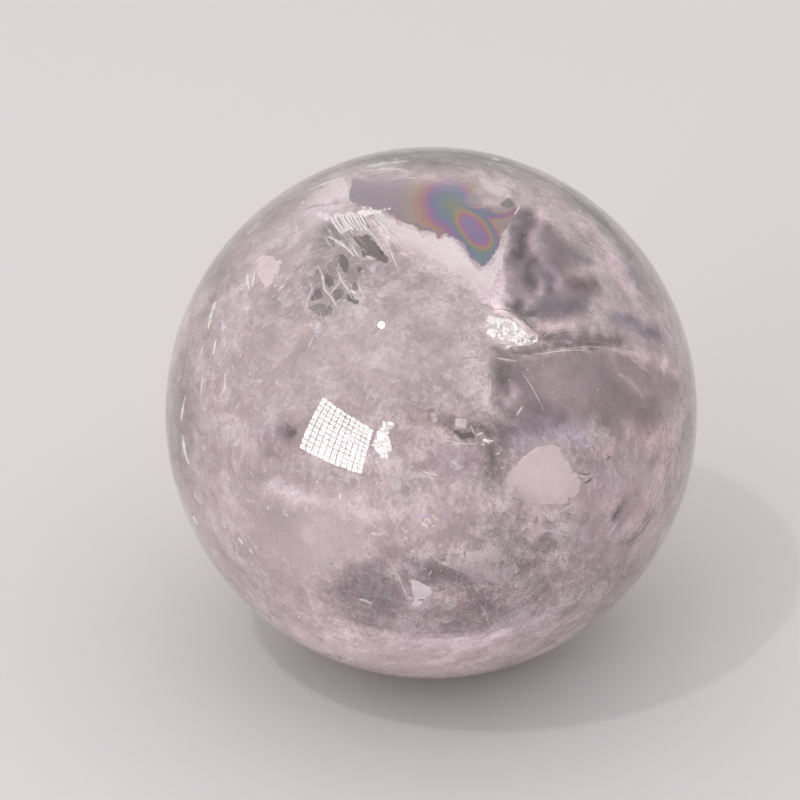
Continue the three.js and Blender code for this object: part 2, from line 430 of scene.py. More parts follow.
     (1.2, -22.2)), (0.93, 0.86, 0.85), 0.75, 0.3, 0.6),
    "low_feather": (((-4.8, -17.2), (-4.3, -17), (-3.2, -18.8), (-2.5, -20.4), (-2.4, -21.2),
     (-3.3, -20), (-4.2, -18.6)), ROSY_WHITE, 0.7, 0.25, 0.25),
    # pale planes at the upper left
    "upper_plane": (((-15.6, 23.6), (-13, 24.9), (-11, 26.4), (-9.7, 26.6), (-9.4, 25.2), (-9.9, 24.1),
     (-11.2, 23.7), (-13.2, 23.2)), (0.9, 0.8, 0.81), 0.75, 0.2, 0.12, ((-11, 25.2), (-15.4, 23.4))),
    "left_plane": (((-15.8, 22.6), (-12.6, 23.2), (-11.8, 21.6), (-11.6, 19.8), (-12.6, 17.8),
     (-15.4, 17.2), (-16, 19.6)), ROSY_WHITE, 0.3, 1.2, 0.3, ((-12.2, 22.4), (-15, 17.4))),
    "blue_sliver": (((10.2, -13.9), (12, -13.3), (15.2, -12.4), (16.4, -12.7), (13, -13.8)), PALE_BLUE,
     0.7, 0.4, 0.3),
    # painted glint in peach
    "peach_painted_glint": (((-1.1, -12), (-0.6, -12.1), (-0.2, -12.8), (-0.7, -13)), (1, 0.9, 0.86), 1, 0.15,
     0.2),
}

# points along it, width in mm, depth in mm, tint, opacity; rows in the glint tints are painted glints,
# strokes that stand in for light thrown back
STREAKS = (
    # the feathers at the upper left
    (((-7.9, 21.3), (-6.8, 20.2), (-5.8, 18.8), (-5.1, 17.6)), 0.14, 0.35, BRIGHT, 0.8),
    (((-7, 21.9), (-6, 20.9), (-5, 19), (-4.3, 17.2), (-3.9, 16.2)), 0.4, 0.6, ROSY_WHITE, 0.7),
    (((-6.6, 22.2), (-5.2, 20.6), (-4.4, 19)), 0.14, 0.5, BRIGHT, 0.8),
    (((-5.2, 20.4), (-4.4, 18.9), (-3.7, 17.4)), 0.12, 0.5, DUSK, 0.35),
    (((-5.6, 20.8), (-4.2, 19.4), (-3, 18.2)), 0.16, 0.5, BRIGHT, 0.6),
    (((-11.9, 19.9), (-10.6, 19.2), (-9.5, 18.4), (-8.6, 17.4)), 0.35, 0.8, ROSY_WHITE, 0.9),
    (((-9.3, 19.2), (-8.7, 18.2), (-8.1, 17.3)), 0.2, 0.6, BRIGHT, 0.9),
    (((-9, 19.6), (-8.3, 18.7), (-7.8, 17.8)), 0.16, 0.6, BRIGHT, 0.9),
    (((-7.6, 17.7), (-7, 17.4), (-6.4, 17.1)), 0.2, 0.6, BRIGHT, 1),
    (((-5.5, 19.8), (-5, 19.7), (-4.6, 19.5)), 0.3, 0.5, PAINTED_GLINT_AND_SPECK, 1),
    # inside the brown pocket
    (((-9.1, 20.1), (-8.3, 19.6), (-7.6, 18.9), (-7.1, 18.2)), 0.3, 0.35, (0.42, 0.34, 0.31), 0.7),
    (((-8.4, 19), (-7.8, 18.4), (-7.2, 17.9)), 0.25, 0.35, (0.42, 0.35, 0.33), 0.6),
    # the net of lines in the grey pocket
    (((-12.9, 16.8), (-12.3, 15.2), (-12.1, 13.9), (-11.3, 12.9), (-10.6, 11.6)), 0.32, 0.35,
     ROSY_WHITE, 0.8),
    (((-13.9, 14.9), (-13.5, 13.9), (-13.9, 12.9), (-14.2, 11.6)), 0.3, 0.35, ROSY_WHITE, 0.7),
    (((-11.9, 12.9), (-11, 13.9), (-10.4, 14.9), (-10.6, 16)), 0.22, 0.35, ROSY_WHITE, 0.8),
    (((-10.9, 16.6), (-10.2, 14.9), (-9.4, 13.7), (-8.9, 12.6)), 0.3, 0.35, ROSY_WHITE, 0.7),
    (((-8.6, 14.9), (-8, 13.7), (-7.4, 12.5)), 0.22, 0.35, ROSY_WHITE, 0.9),
    (((-9.4, 13.9), (-8.8, 13.5), (-8.2, 13.2)), 0.25, 0.35, BRIGHT, 0.9),
    (((-6.6, 12.9), (-6.2, 12.6), (-5.8, 12.4)), 0.3, 0.35, BRIGHT, 0.8),
    # round the heart
    (((-20.7, 15.8), (-20.8, 14.8), (-20.5, 13.5)), 0.55, 0.6, BRIGHT, 1),
    (((-20, 16.3), (-20.1, 15), (-20.3, 13.9)), 0.3, 0.5, PAINTED_GLINT_AND_SPECK, 1),
    (((-16.4, 14.5), (-17, 14), (-17.4, 13.4)), 0.2, 0.6, BRIGHT, 1),
    (((-15.9, 12.1), (-15.1, 12.6), (-14.5, 13.1)), 0.13, 0.5, DUSK, 0.6),
    # painted glints down the left limb: white and warm strokes that stand in for light thrown back
    (((-24.3, 12.6), (-24.8, 11.2), (-25.2, 9.6)), 0.4, 0.35, PAINTED_GLINT_AND_SPECK, 1),
    (((-24.2, 8.4), (-24.5, 7.2), (-24.6, 6.2)), 0.3, 0.35, PAINTED_GLINT_AND_SPECK, 1),
    (((-27.7, 2), (-28, 0.4), (-28.2, -1.2)), 0.3, 0.3, PAINTED_GLINT_AND_SPECK, 1),
    (((-28, -2.4), (-27.8, -4.4), (-27.2, -6.2)), 0.35, 0.3, PAINTED_GLINT_AND_SPECK, 1),
    (((-26.9, -11.6), (-26.5, -12.4), (-26.2, -13)), 0.4, 0.3, PAINTED_GLINT_AND_SPECK, 1),
    (((-21.8, -14), (-21.4, -14.6), (-21, -15)), 0.35, 0.35, PAINTED_GLINT_AND_SPECK, 1),
    (((-23.2, 4.6), (-23.3, 3.2), (-23.2, 2)), 0.2, 0.35, BRIGHT, 0.9),
    (((-24.9, 10.6), (-25.1, 9.9), (-25.2, 9.1)), 0.22, 0.3, PAINTED_WARM_GLINT, 1),
    (((-25.6, 7.6), (-25.9, 6.9), (-26, 6.1)), 0.18, 0.3, PAINTED_WARM_GLINT, 1),
    (((-23.6, 6.2), (-23.9, 5.6), (-24, 4.9)), 0.15, 0.3, PAINTED_WARM_GLINT, 0.9),
    (((-26.8, -8.8), (-26.5, -9.6), (-26.1, -10.3)), 0.2, 0.3, PAINTED_WARM_GLINT, 1),
    (((-20.5, -15.2), (-20.2, -15.8), (-19.8, -16.3)), 0.2, 0.3, PAINTED_WARM_GLINT, 0.9),
    (((-25.6, 5), (-25.9, 3), (-26, 1.2)), 0.2, 0.35, BRIGHT, 0.9),
    # the upper left limb
    (((-14.3, 24.8), (-12.6, 25.6), (-10.9, 26.2), (-9.2, 26.7)), 0.3, 0.5, BRIGHT, 0.7),
    (((-9.8, 24.1), (-9.7, 25.1), (-9.2, 26.3)), 0.22, 0.4, BRIGHT, 0.9),
    (((-9.4, 24.2), (-9.4, 25), (-9, 25.9)), 0.15, 0.4, BRIGHT, 0.8),
    (((-14.5, 22.7), (-13.3, 23.2), (-12.2, 23.3), (-11.1, 23.5), (-9.9, 23.8)), 0.2, 0.5, DUSK, 0.45),
    (((-15.5, 22), (-15.4, 21.2), (-15.2, 20.4)), 0.3, 0.7, BRIGHT, 0.6),
    (((-8, 27.6), (-5, 28.1), (-2.4, 28.4)), 0.4, 0.4, BRIGHT, 0.6),
    (((-7.4, 27.2), (-4.6, 27.5), (-2.4, 27)), 0.3, 0.5, BRIGHT, 0.6),
    (((6.4, 28.7), (7.1, 28.6), (7.8, 28.4)), 0.25, 0.3, BRIGHT, 0.9),
    # on the rainbow crack, and its right end
    (((-4.6, 27), (-2, 26.4), (0.2, 26.9)), 0.2, 0.5, ROSY_WHITE, 0.35),
    (((9.8, 23.8), (9.7, 23), (9.2, 22.2)), 0.25, 0.5, BRIGHT, 1),
    (((8.2, 24.4), (8.6, 24.4), (8.9, 24.3)), 0.3, 0.4, PAINTED_GLINT_AND_SPECK, 1),
    # the chevron and the lines to its right
    (((6.8, 11.2), (8.8, 11), (10.6, 9.8), (12.3, 8.3)), 0.14, 0.6, BRIGHT, 1),
    (((6.6, 11.6), (8.4, 11.6), (10.2, 10.6), (12.1, 8.7)), 0.14, 0.7, DUSK, 0.6),
    (((7.4, 7.9), (9.6, 7.6), (11.2, 7.8), (12.4, 8.2)), 0.14, 0.6, BRIGHT, 1),
    (((8.7, 8.3), (10.4, 8.2), (12, 8.3)), 0.16, 0.6, DUSK, 0.7),
    (((12.4, 8.4), (13.6, 9.3), (15.2, 9.6), (16.4, 9.6)), 0.14, 0.6, BRIGHT, 0.8),
    (((12.6, 8.1), (13.8, 8.8), (15.4, 9.1), (17, 9.2)), 0.14, 0.7, DUSK, 0.6),
    (((8.8, 6.6), (11, 6.5), (13.4, 6.9), (17.6, 7.5), (20.7, 7.1), (23.8, 6.4), (26.6, 5.4)), 0.14,
     0.7, BRIGHT, 0.6),
    (((12.4, 6.7), (14.6, 7), (17.4, 7.2)), 0.22, 0.6, BRIGHT, 0.8),
    (((13.4, 7.3), (17, 7.9), (20.4, 7.6), (23.6, 6.9)), 0.16, 0.8, DUSK, 0.45),
    (((7.2, 6.2), (8.6, 6), (9.8, 5.8)), 0.25, 0.9, ROSY_WHITE, 0.9),
    (((3.2, 6), (4.6, 6.2), (5.8, 6.3)), 0.14, 0.8, DUSK, 0.5),
    (((21.4, 7), (23.6, 5.4), (25.2, 4)), 0.3, 1, ROSY_WHITE, 0.6),
    # inside the grey window
    (((6.5, 4), (6.6, 2.6), (6.3, 1)), 0.3, 1, ROSY_WHITE, 0.7),
    (((10, 4.9), (11.4, 2.8), (12.9, 0)), 0.16, 1.2, ROSY_WHITE, 0.7),
    (((10.4, 0.9), (10, 0.3), (9.5, -0.5)), 0.24, 1, BRIGHT, 0.95),
    (((7.1, -4.7), (7.5, -4.6), (7.9, -4.4)), 0.4, 1, ROSY_WHITE, 0.7),
    (((20.8, 4.6), (22.6, 3.4), (24, 1.8)), 0.5, 1.4, ROSY_WHITE, 0.4),
    # the middle
    (((1.2, -2.9), (2.6, -3.3), (3.9, -3.5), (5.4, -3.5)), 0.14, 0.6, BRIGHT, 1),
    (((2.3, -3.5), (2.8, -3.6), (3.3, -3.8)), 0.28, 0.6, PAINTED_GLINT_AND_SPECK, 1),
    (((4.4, -1.3), (4.7, -2), (5, -2.5)), 0.16, 0.6, BRIGHT, 0.9),
    (((4.9, -2.6), (5.4, -2.4), (6, -2.2)), 0.32, 0.6, BRIGHT, 1),
    (((-2.5, -6.1), (-2.1, -6.1), (-1.6, -6.2)), 0.2, 0.6, PAINTED_GLINT_AND_SPECK, 1),
    (((-1.2, -6.6), (0, -6.9), (1, -7.2)), 0.18, 0.6, BRIGHT, 1),
    (((-1, -6.9), (0, -7.1), (0.9, -7.4)), 0.1, 0.6, DUSK, 0.6),
    # the lower part
    # painted glints: pink, gold and white strokes that stand in for light thrown back by small cracks
    (((0, -11.4), (0.5, -11.8), (1, -12.3)), 0.2, 0.6, (1, 0.93, 0.86), 1),
    (((0.1, -12.7), (0.3, -12.8), (0.5, -12.9)), 0.35, 0.6, PAINTED_GLINT_AND_SPECK, 1),
    (((-8.2, -21.1), (-7.4, -21.2), (-6.4, -21.7)), 0.24, 0.3, PAINTED_GLINT_AND_SPECK, 0.95),
    (((-1.9, -11.3), (-1.1, -11.6), (-0.5, -12)), 0.2, 0.3, (0.9, 0.78, 0.92), 0.9),
    (((-0.9, -11.9), (-0.3, -12.1), (0.2, -12.7)), 0.3, 0.3, (1, 0.88, 0.78), 1),
    (((-1.2, -12.4), (-0.7, -12.6), (-0.2, -13)), 0.35, 0.3, (1, 0.84, 0.83), 1),
    (((0, -11.4), (0.5, -12), (0.8, -12.6)), 0.12, 0.3, (1, 0.95, 0.74), 1),
    (((-10.3, -9), (-10.2, -9.5), (-10.4, -10.1)), 0.3, 0.3, PAINTED_GLINT_AND_SPECK, 0.9),
    (((-9, -22.6), (-8.7, -22.9), (-8.3, -23.2)), 0.35, 0.3, BRIGHT, 0.8),
    (((-4.2, -17.6), (-3.5, -18.8), (-3, -20), (-2.6, -21)), 0.2, 0.3, BRIGHT, 0.75),
    (((-4.8, -17.4), (-4.5, -18.4), (-4.3, -18.9)), 0.3, 0.3, ROSY_WHITE, 0.6),
    (((5.5, -21.3), (6.2, -22.6), (6.5, -23.5), (6.8, -24.3)), 0.16, 0.3, BRIGHT, 0.75),
    (((-0.4, -15.8), (1.2, -16.9), (3, -17.7)), 0.3, 0.9, ROSY_WHITE, 0.6),
    (((9.2, -16.4), (9.6, -17.4), (9.6, -18.6)), 0.3, 0.9, ROSY_WHITE, 0.5),
    (((8.4, -10.9), (8.9, -11.3), (9.3, -11.7)), 0.2, 0.7, BRIGHT, 0.8),
    (((13.6, -11.6), (15, -10.9), (16.4, -10)), 0.3, 0.8, ROSY_WHITE, 0.8),
    (((-2.6, -25.2), (2, -25.3), (6, -24.7), (10, -23.9), (14, -22.3)), 0.2, 0.9, LAVENDER, 0.5),
    (((-2, -24.8), (1.8, -24.8), (5.6, -24.2)), 0.14, 0.9, DUSK, 0.4),
    (((-6.1, -28.1), (-5.7, -28.2), (-5.3, -28.3)), 0.25, 0.3, PAINTED_GLINT_AND_SPECK, 1),
    # the right side
    (((19.7, -5.4), (20, -5), (20.4, -4.8)), 0.2, 0.7, DUSK, 0.8),
    (((17.1, -7.9), (17.7, -7.7), (18.2, -7.3)), 0.25, 0.7, DUSK, 0.8),
    (((16.4, -6.6), (17.6, -6.9), (18.2, -6.6)), 0.2, 0.7, DUSK, 0.6),
    (((16.3, -6.9), (17.4, -7.2), (18.6, -6.8)), 0.18, 0.7, BRIGHT, 0.8),
    (((20.3, -12.2), (20.9, -11.4), (21.3, -10.2)), 0.35, 0.7, DUSK, 0.55),
    (((22.4, -14.5), (23.8, -13.2), (24.8, -11.8)), 0.4, 0.7, DUSK, 0.5),
    (((21.1, -15.1), (21.6, -14.6), (22.1, -13.8)), 0.2, 0.7, DUSK, 0.6),
    (((22, -14), (23.4, -12.6), (24.4, -11)), 0.25, 0.6, BRIGHT, 0.8),
    (((24.4, -9.6), (25.2, -7.4), (25.4, -5.4)), 0.5, 0.9, BRIGHT, 0.5),
    (((27.7, -3), (26.6, -7.4), (24.2, -12)), 0.3, 0.5, BRIGHT, 0.45),
    (((27, -5.4), (25.2, -9.8), (22.8, -13.2)), 0.16, 0.5, DUSK, 0.3),
    (((28.2, 2), (28, -2.6), (26.9, -7.6)), 0.25, 0.4, BRIGHT, 0.4),
    (((19.4, -14.4), (20.6, -13), (21.2, -11.6)), 0.3, 0.8, BRIGHT, 0.6),
)

# single sparks: x, y and width in mm
SPARKS = ((4.7, 14.7, 0.35), (1.3, 13.7, 0.3), (5.7, 12.7, 0.4), (-4.7, 9.4, 0.35), (-6.3, 12.6, 0.3),
          (-20.3, 11.4, 0.25), (-15.7, 10.3, 0.2), (-11.6, 25.7, 0.3), (12.8, -19.5, 0.3),
          (13.3, -19.7, 0.3), (10.0, -18.6, 0.2), (11.0, -24.1, 0.25), (-1.4, -18.6, 0.3),
          (-1.1, -23.0, 0.2), (-13.9, -25.2, 0.25), (-4.0, -24.8, 0.25), (-7.3, -24.3, 0.3),
          (3.9, -0.7, 0.25), (1.8, 5.9, 0.25), (-7.6, 0.4, 0.25), (-13.9, -18.3, 0.2),
          (-9.4, -4.6, 0.2), (3.4, -4.5, 0.3))

# short lines at random places: how many, between which two corners, least and greatest length and
# width in mm, tint, least and greatest opacity, degrees that they lean off upright, and how much that
# varies
SHORT_LINES = (
    (120, (-28.5, -20), (-19, 14), (0.3, 1.6), (0.05, 0.14), BRIGHT, (0.4, 1.0), 12, 25),
    (420, (-27, -27), (27, 27), (0.15, 0.7), (0.05, 0.13), BRIGHT, (0.2, 0.9), 30, 50),
    (90, (-27, -27), (27, 27), (0.2, 0.8), (0.06, 0.14), DUSK, (0.08, 0.22), 30, 50),
    (30, (-12.5, 19), (-9, 23), (0.8, 2.2), (0.05, 0.14), BRIGHT, (0.4, 0.9), 32, 6),
    (16, (-12.0, 20), (-9, 22.6), (0.8, 1.8), (0.08, 0.18), DUSK, (0.3, 0.7), 32, 6),
    (60, (-14, 10), (-7, 17), (0.3, 1.4), (0.05, 0.12), ROSY_WHITE, (0.4, 0.9), 10, 60),
    (160, (-12, -24.5), (14, -15), (0.15, 1.1), (0.06, 0.13), BRIGHT, (0.3, 1.0), 40, 60),
    (110, (-12, -24.5), (14, -15), (0.3, 1.2), (0.08, 0.2), DUSK, (0.25, 0.6), 50, 50),
    (90, (5, -17), (16, -11), (0.2, 1.2), (0.06, 0.14), BRIGHT, (0.3, 1.0), 70, 40),
    (60, (5, -17), (16, -11), (0.3, 1.3), (0.08, 0.2), DUSK, (0.2, 0.5), 70, 40),
)
# the same for each other side
SIDE_LINES = (
    (170, (-26, -26), (26, 26), (0.2, 1.2), (0.06, 0.16), BRIGHT, (0.3, 1.0), 20, 50),
    (34, (-26, -26), (26, 26), (2.0, 8.0), (0.15, 0.4), BRIGHT, (0.4, 0.9), 30, 35),
    (30, (-26, -26), (26, 26), (0.5, 2.5), (0.08, 0.2), DUSK, (0.15, 0.45), 30, 35),
)

# outline of a cluster of mirror flakes, how many lie on each mm2, and their least and largest widths
GLINTS = (
    (((-6.5, -3.7), (-5.9, -2.6), (-5.4, -1.5), (-4.5, -1.3), (-4.9, -2.3), (-5.1, -3), (-4.8, -4),
     (-4.9, -5.1), (-5.6, -5.2), (-5.9, -4.2)), 24, 0.7, 1.4),
    (((6.4, 9.6), (8.0, 10.4), (9.8, 9.6), (10.7, 8.8), (12, 8.3), (9.4, 7.9), (6.9, 8.3)), 9, 0.6, 1.9),
    (((5.7, -3.1), (6.2, -2.9), (7.1, -3.2), (6.3, -3.8), (5.7, -3.6)), 20, 0.25, 0.5),
    (((2.2, -3.4), (3.4, -3.5), (3.4, -3.8), (2.4, -3.7)), 14, 0.12, 0.25),
    (((4.7, -2.6), (5.4, -2.2), (6.2, -2.1), (5.4, -2.7)), 20, 0.12, 0.25),
    (((-17.2, 15.9), (-16.6, 16.1), (-16.1, 15.5), (-16.6, 15), (-17.2, 15.2)), 8, 0.12, 0.3),
    (((-20.8, 15.3), (-20.2, 15.2), (-20.1, 13.6), (-20.7, 13.3)), 16, 0.12, 0.3),
    (((-9.7, -27.1), (-9, -27.4), (-8.2, -28), (-8.9, -28.2), (-9.5, -27.8)), 14, 0.12, 0.3),
    (((-17.8, 14.6), (-14.2, 14.8), (-14.4, 12), (-17.2, 12.4)), 3, 0.08, 0.4),
    (((-9.2, 23.2), (-4.4, 23.2), (-4.6, 22.7), (-8.8, 22.3)), 6, 0.1, 0.4),
    (((-6.2, -28), (-5.2, -28.2), (-5.4, -28.5), (-6.1, -28.3)), 14, 0.1, 0.2),
    (((-5.2, -23.6), (-3.6, -23.9), (-3.4, -25.4), (-4.8, -25)), 7, 0.1, 0.35),
    (((-1.2, -11.9), (0.4, -12.1), (0.5, -13), (-1, -12.9)), 6, 0.15, 0.4),
    (((-24.4, 12.4), (-24, 12), (-25, 9.2), (-25.5, 9)), 8, 0.12, 0.3),
    (((-28.3, -1), (-27.6, -1.4), (-26.4, -6), (-26.9, -6.2)), 4, 0.1, 0.3),
    (((-9.3, 23.2), (-5.4, 23.2), (-5.4, 22.3), (-8.6, 22)), 2.5, 0.1, 0.3),
    (((-12, 21.5), (-7, 21.5), (-6, 18), (-9.5, 18)), 1.2, 0.08, 0.25),
    (((-23, 14), (-17, 18), (-8, 24.5), (-10, 26), (-20, 20.5)), 0.5, 0.06, 0.2),
    (((-28, -10), (-28, 8), (-21, 12), (-20, -14)), 0.9, 0.08, 0.26),
    (((-16, -20), (-20, -4), (-4, 8), (6, 14), (6, -12), (-6, -14)), 0.25, 0.05, 0.22),
    (((-14, -25), (14, -24), (16, -12), (-12, -16)), 0.8, 0.07, 0.2),
)

# soft bands in the milky part: points along them, half their width in mm, and tone
BANDS = (
    # the upper right window
    (((10.7, 22.4), (10.3, 20.8), (9.9, 19), (9.4, 17.5)), 0.8, (0.38, 0.32, 0.35)),
    (((10.2, 19.8), (9.6, 18)), 0.5, 0.53),
    (((12.3, 22.2), (11.8, 20.6), (11.5, 19.2), (11.9, 17.6)), 0.5, (1.8, 1.74, 1.77)),
    (((11.3, 17), (11, 15.8), (11.4, 14.8)), 0.7, (0.31, 0.27, 0.31)),
    (((12.2, 14.9), (12.3, 14.2), (12.2, 13.2)), 0.3, (2.01, 1.99, 2.08)),
    (((13.1, 15.4), (13.4, 14.6), (13.3, 13.6)), 0.5, (0.58, 0.54, 0.58)),
    (((13.6, 20.6), (14.6, 19.2), (14.2, 17.4)), 1.2, (0.69, 0.65, 0.65)),
    (((16, 18.6), (17.2, 17.4)), 0.9, 0.63),
    (((13, 16.8), (13.8, 15.6), (14.4, 14.2)), 0.5, (1.42, 1.42, 1.54)),
    (((14.8, 14.8), (16.2, 15.8), (17.8, 16.4)), 0.45, (1.54, 1.47, 1.47)),
    (((15.8, 14.8), (17, 14.4), (18.2, 14.2)), 0.8, (0.45, 0.39, 0.39)),
    (((12.4, 12), (14.2, 11.6), (16.6, 12.2)), 0.8, (0.62, 0.62, 0.69)),
    (((9.4, 12.2), (10.3, 11.5), (11.2, 11)), 0.45, 0.2),
    (((10.4, 13), (11, 12.6), (11.8, 12.3)), 0.25, (1.65, 1.61, 1.65)),
    # the milk under the rainbow's edge
    (((-6.4, 21.7), (-4, 20.3), (-1, 19.3), (1.6, 18.8), (3.2, 17), (4.8, 15.2)), 1.1, 1.19),
    # streaks along the upper right limb
    (((13, 24.6), (16.4, 22.2), (19.6, 18.8), (22, 15)), 0.6, (1.19, 1.15, 1.17)),
    (((12, 24), (15.2, 21.8), (18.2, 18.6)), 0.5, 0.82),
    (((15, 25), (18.8, 21.8), (22.2, 17.6), (24.6, 13)), 0.6, 0.72),
    (((20, 17.2), (21.4, 15.4), (22.6, 13.6)), 0.5, 1.26),
    (((21.2, 17.2), (23.2, 14.4)), 0.4, (0.77, 0.77, 0.83)),
    # round the chevron: dark lines, and bright bands that are painted glint where the chevron throws light
    # back
    (((6.6, 12.4), (8.6, 10.9), (10.6, 9.3), (12.2, 8.3)), 0.35, (1.48, 1.43, 1.45)),
    (((6, 12.2), (7.8, 10.7), (9.4, 9.6)), 0.25, (0.54, 0.5, 0.51)),
    (((8.6, 12.4), (10.4, 10.6), (11.8, 9.2)), 0.3, 0.45),
    (((10.6, 8.9), (11.5, 8.5), (11.9, 8.3)), 0.22, (0.35, 0.31, 0.31)),
    (((7, 9.6), (8.8, 9.2), (10.2, 8.6)), 0.9, (1.57, 1.52, 1.55)),
    (((12.8, 8.6), (14.6, 8.5), (17.6, 8.3), (21, 8.2)), 0.55, (0.41, 0.37, 0.39)),
    (((9.4, 7.1), (11.4, 7.1), (14.6, 7.4), (18.4, 7.7)), 0.3, 0.35),
    (((7, 7.1), (8.6, 6.9), (9.8, 6.6)), 0.3, 0.4),
    (((11.8, 9), (12.9, 9.8), (14.4, 10.1), (16, 9.8)), 0.3, (1.31, 1.27, 1.27)),
    (((9.8, 6.3), (12.6, 6.6), (15.1, 6.9), (18, 7.2)), 0.22, (1.57, 1.52, 1.53)),
    (((20.4, 7), (23, 6.6), (25.2, 6), (27.2, 4.8)), 0.5, (1.57, 1.5, 1.48)),
    (((20.8, 10.9), (22.8, 10.2), (25.2, 8.8)), 0.7, (0.51, 0.51, 0.59)),
    (((19, 12), (22, 11.8), (25, 10.6)), 0.5, 1.13),
    (((13.4, 10.4), (14.6, 10.8), (16.4, 10.8)), 0.5, (1.19, 1.12, 1.12)),
    # the grey window
    (((7.6, 6), (7.8, 4.6), (8.6, 3.2)), 0.9, (0.56, 0.52, 0.52)),
    (((9.8, 5.2), (10.6, 3.4), (11.6, 1.6), (12.6, 0.2)), 0.8, 0.79),
    (((11.2, 0.9), (13, 0.2), (15, -0.6)), 0.6, 0.77),
    (((12.6, 4.4), (15, 4), (16.6, 2.4)), 1.4, 1.08),
    (((18.2, 5.8), (19.6, 4.2), (20.8, 2.6)), 1, 0.88),
    (((20.2, 6), (21.8, 4.2), (23.4, 2.8), (25.8, 2.2)), 0.45, 1.26),
    (((9.2, 3.1), (9.6, 2.5), (9.4, 2)), 0.35, (2.1, 2.1, 2.15)),
    (((8.3, 1.4), (8.9, 1)), 0.32, 1.71),
    (((6.6, 3.6), (6.6, 2), (6.3, 0.3)), 0.2, 1.21),
    (((9.6, -2.8), (11, -1.9), (13, -1.6), (15.2, -1.8), (16.8, -2.9)), 0.9, (1, 1.02, 1.14)),
    (((9, -1.6), (12, -2.6), (15.4, -3), (17.6, -4.6)), 1.8, 0.81),
    (((22.6, -2.2), (24.4, -2.6), (26.4, -2.4)), 1, (1.22, 1.15, 1.13)),
    # beside the pink plate and at the lower right
    (((7.8, -1.8), (7.4, -4.6), (6.6, -8)), 1.2, 0.75),
    (((20.6, -12.4), (21, -11.2), (21.6, -10)), 0.3, 0.54),
    (((22.2, -14.6), (23.6, -13), (25, -11.2)), 0.35, 0.59),
    (((22.6, -12.6), (24.2, -10.6), (25.6, -7.6), (26.4, -5)), 0.5, (1.22, 1.18, 1.18)),
    (((18.8, -10.4), (20.4, -10.2)), 0.6, (1.22, 1.17, 1.15)),
    (((18.4, -4.2), (19.6, -4.3), (20.6, -4)), 0.35, (1.25, 1.22, 1.2)),
    (((24.6, -2), (26, -6), (25.6, -10.6), (22.6, -15.8)), 0.5, 1.09),
    # the middle
    (((-0.6, -1.1), (1.4, -0.8), (2.6, -1.2)), 0.9, (0.78, 0.74, 0.73)),
    (((2.8, -2.4), (3.8, -2.5), (4.9, -2.8)), 0.38, (0.36, 0.32, 0.31)),
    (((4.5, -1.4), (5.4, -1.6), (6.5, -2.1)), 0.32, 0.43),
    (((6.4, -3.8), (6.9, -5), (6.8, -6.2)), 0.45, 0.51),
    (((3.2, -0.3), (3.4, -1.1), (3.5, -1.8)), 0.4, (1.22, 1.16, 1.14)),
    # the lower left ridge and the smooth plane under it
    (((-20.4, -8.7), (-17, -9.5), (-11.3, -10.4), (-7.9, -11.9), (-4.6, -13.4)), 0.7, 1.15),
    (((-21, -10.6), (-16, -11.4), (-11, -12.2)), 0.8, 0.95),
    (((-13.4, -13.6), (-10, -14.6), (-8.8, -16)), 2.4, 1.07),
    # the low window
    (((-9, -18.6), (-7.4, -19.8), (-5.2, -21.4)), 1.1, 0.72),
    (((-6.6, -18), (-4.6, -18.6)), 0.8, 0.82),
    (((-4.2, -17.2), (-3.4, -19.2), (-2.4, -21.2)), 0.3, 1.29),
    (((0.6, -18), (2.4, -18.4), (4.2, -19)), 0.7, 0.73),
    (((1.4, -20.4), (2.6, -21), (3.4, -21.4)), 0.6, (1.22, 1.18, 1.18)),
    (((-8.6, -23.4), (-4, -24.2), (1, -24.2), (5.6, -23.6)), 0.6, 0.78),
    (((5, -20.6), (6.4, -21.8), (8.4, -22.6)), 0.9, 0.77),
    (((5.6, -14.6), (9.6, -14.2), (13, -14.6)), 0.6, 0.84),
    (((10.4, -14), (12.4, -13.2), (15, -12.4)), 0.5, 1.21),
    (((-3, -25.8), (2, -26), (7, -25.2), (12.4, -23.2)), 0.9, (1.16, 1.16, 1.2)),
)


def new_object(name, data):
    made = bpy.data.objects.new(name, data)
    scene.collection.objects.link(made)
    return made


def unit(vectors):
    """Vectors shortened or drawn out to length 1."""
    return vectors / np.linalg.norm(vectors, axis=-1, keepdims=True)


def smooth_step(low, high, value):
    t = np.clip((value - low) / (high - low), 0, 1)
    return t * t * (3 - 2 * t)


def fractal(places, size_mm, octaves=4, shift=0.0):
    """Cloudy noise, about -1 to 1, with lumps of about the given size."""
    scaled = np.asarray(places) / (size_mm * MM) + shift
    return np.array([noise.fractal(p, 0.8, 2.1, octaves) for p in scaled.tolist()])


def bent_sight(x, y):
    """Where the line of sight at x, y mm enters the ball, and its direction inside, in camera axes."""
    side, rise = (np.asarray(part, float) * MM * SLOPE for part in (x, y))
    ray = unit(np.stack([side, rise, -np.ones_like(side)], axis=-1))
    eye = np.array([0, 0, CAMERA_DISTANCE])
    along = ray @ eye
    reach = -along - np.sqrt(np.maximum(along ** 2 - CAMERA_DISTANCE ** 2 + BALL_RADIUS ** 2, 0))
    entry = eye + ray * reach[..., None]
    normal = unit(entry)
    cos_in = -np.sum(ray * normal, axis=-1, keepdims=True)
    cos_out = np.sqrt(1 - (1 - cos_in ** 2) / QUARTZ_IOR ** 2)
    return entry, ray / QUARTZ_IOR + (cos_in / QUARTZ_IOR - cos_out) * normal


def seen(x, y, deep):
    """The place in the stone seen at x, y mm, that many mm behind the near skin."""
    entry, bent = bent_sight(x, y)
    local = entry + bent * (np.asarray(deep, float) * MM)[..., None]
    local *= np.minimum(1, FLAWS_WITHIN / np.linalg.norm(local, axis=-1))[..., None]
    return BALL_CENTRE + local[..., :1] * RIGHT + local[..., 1:2] * UP + local[..., 2:] * BACK


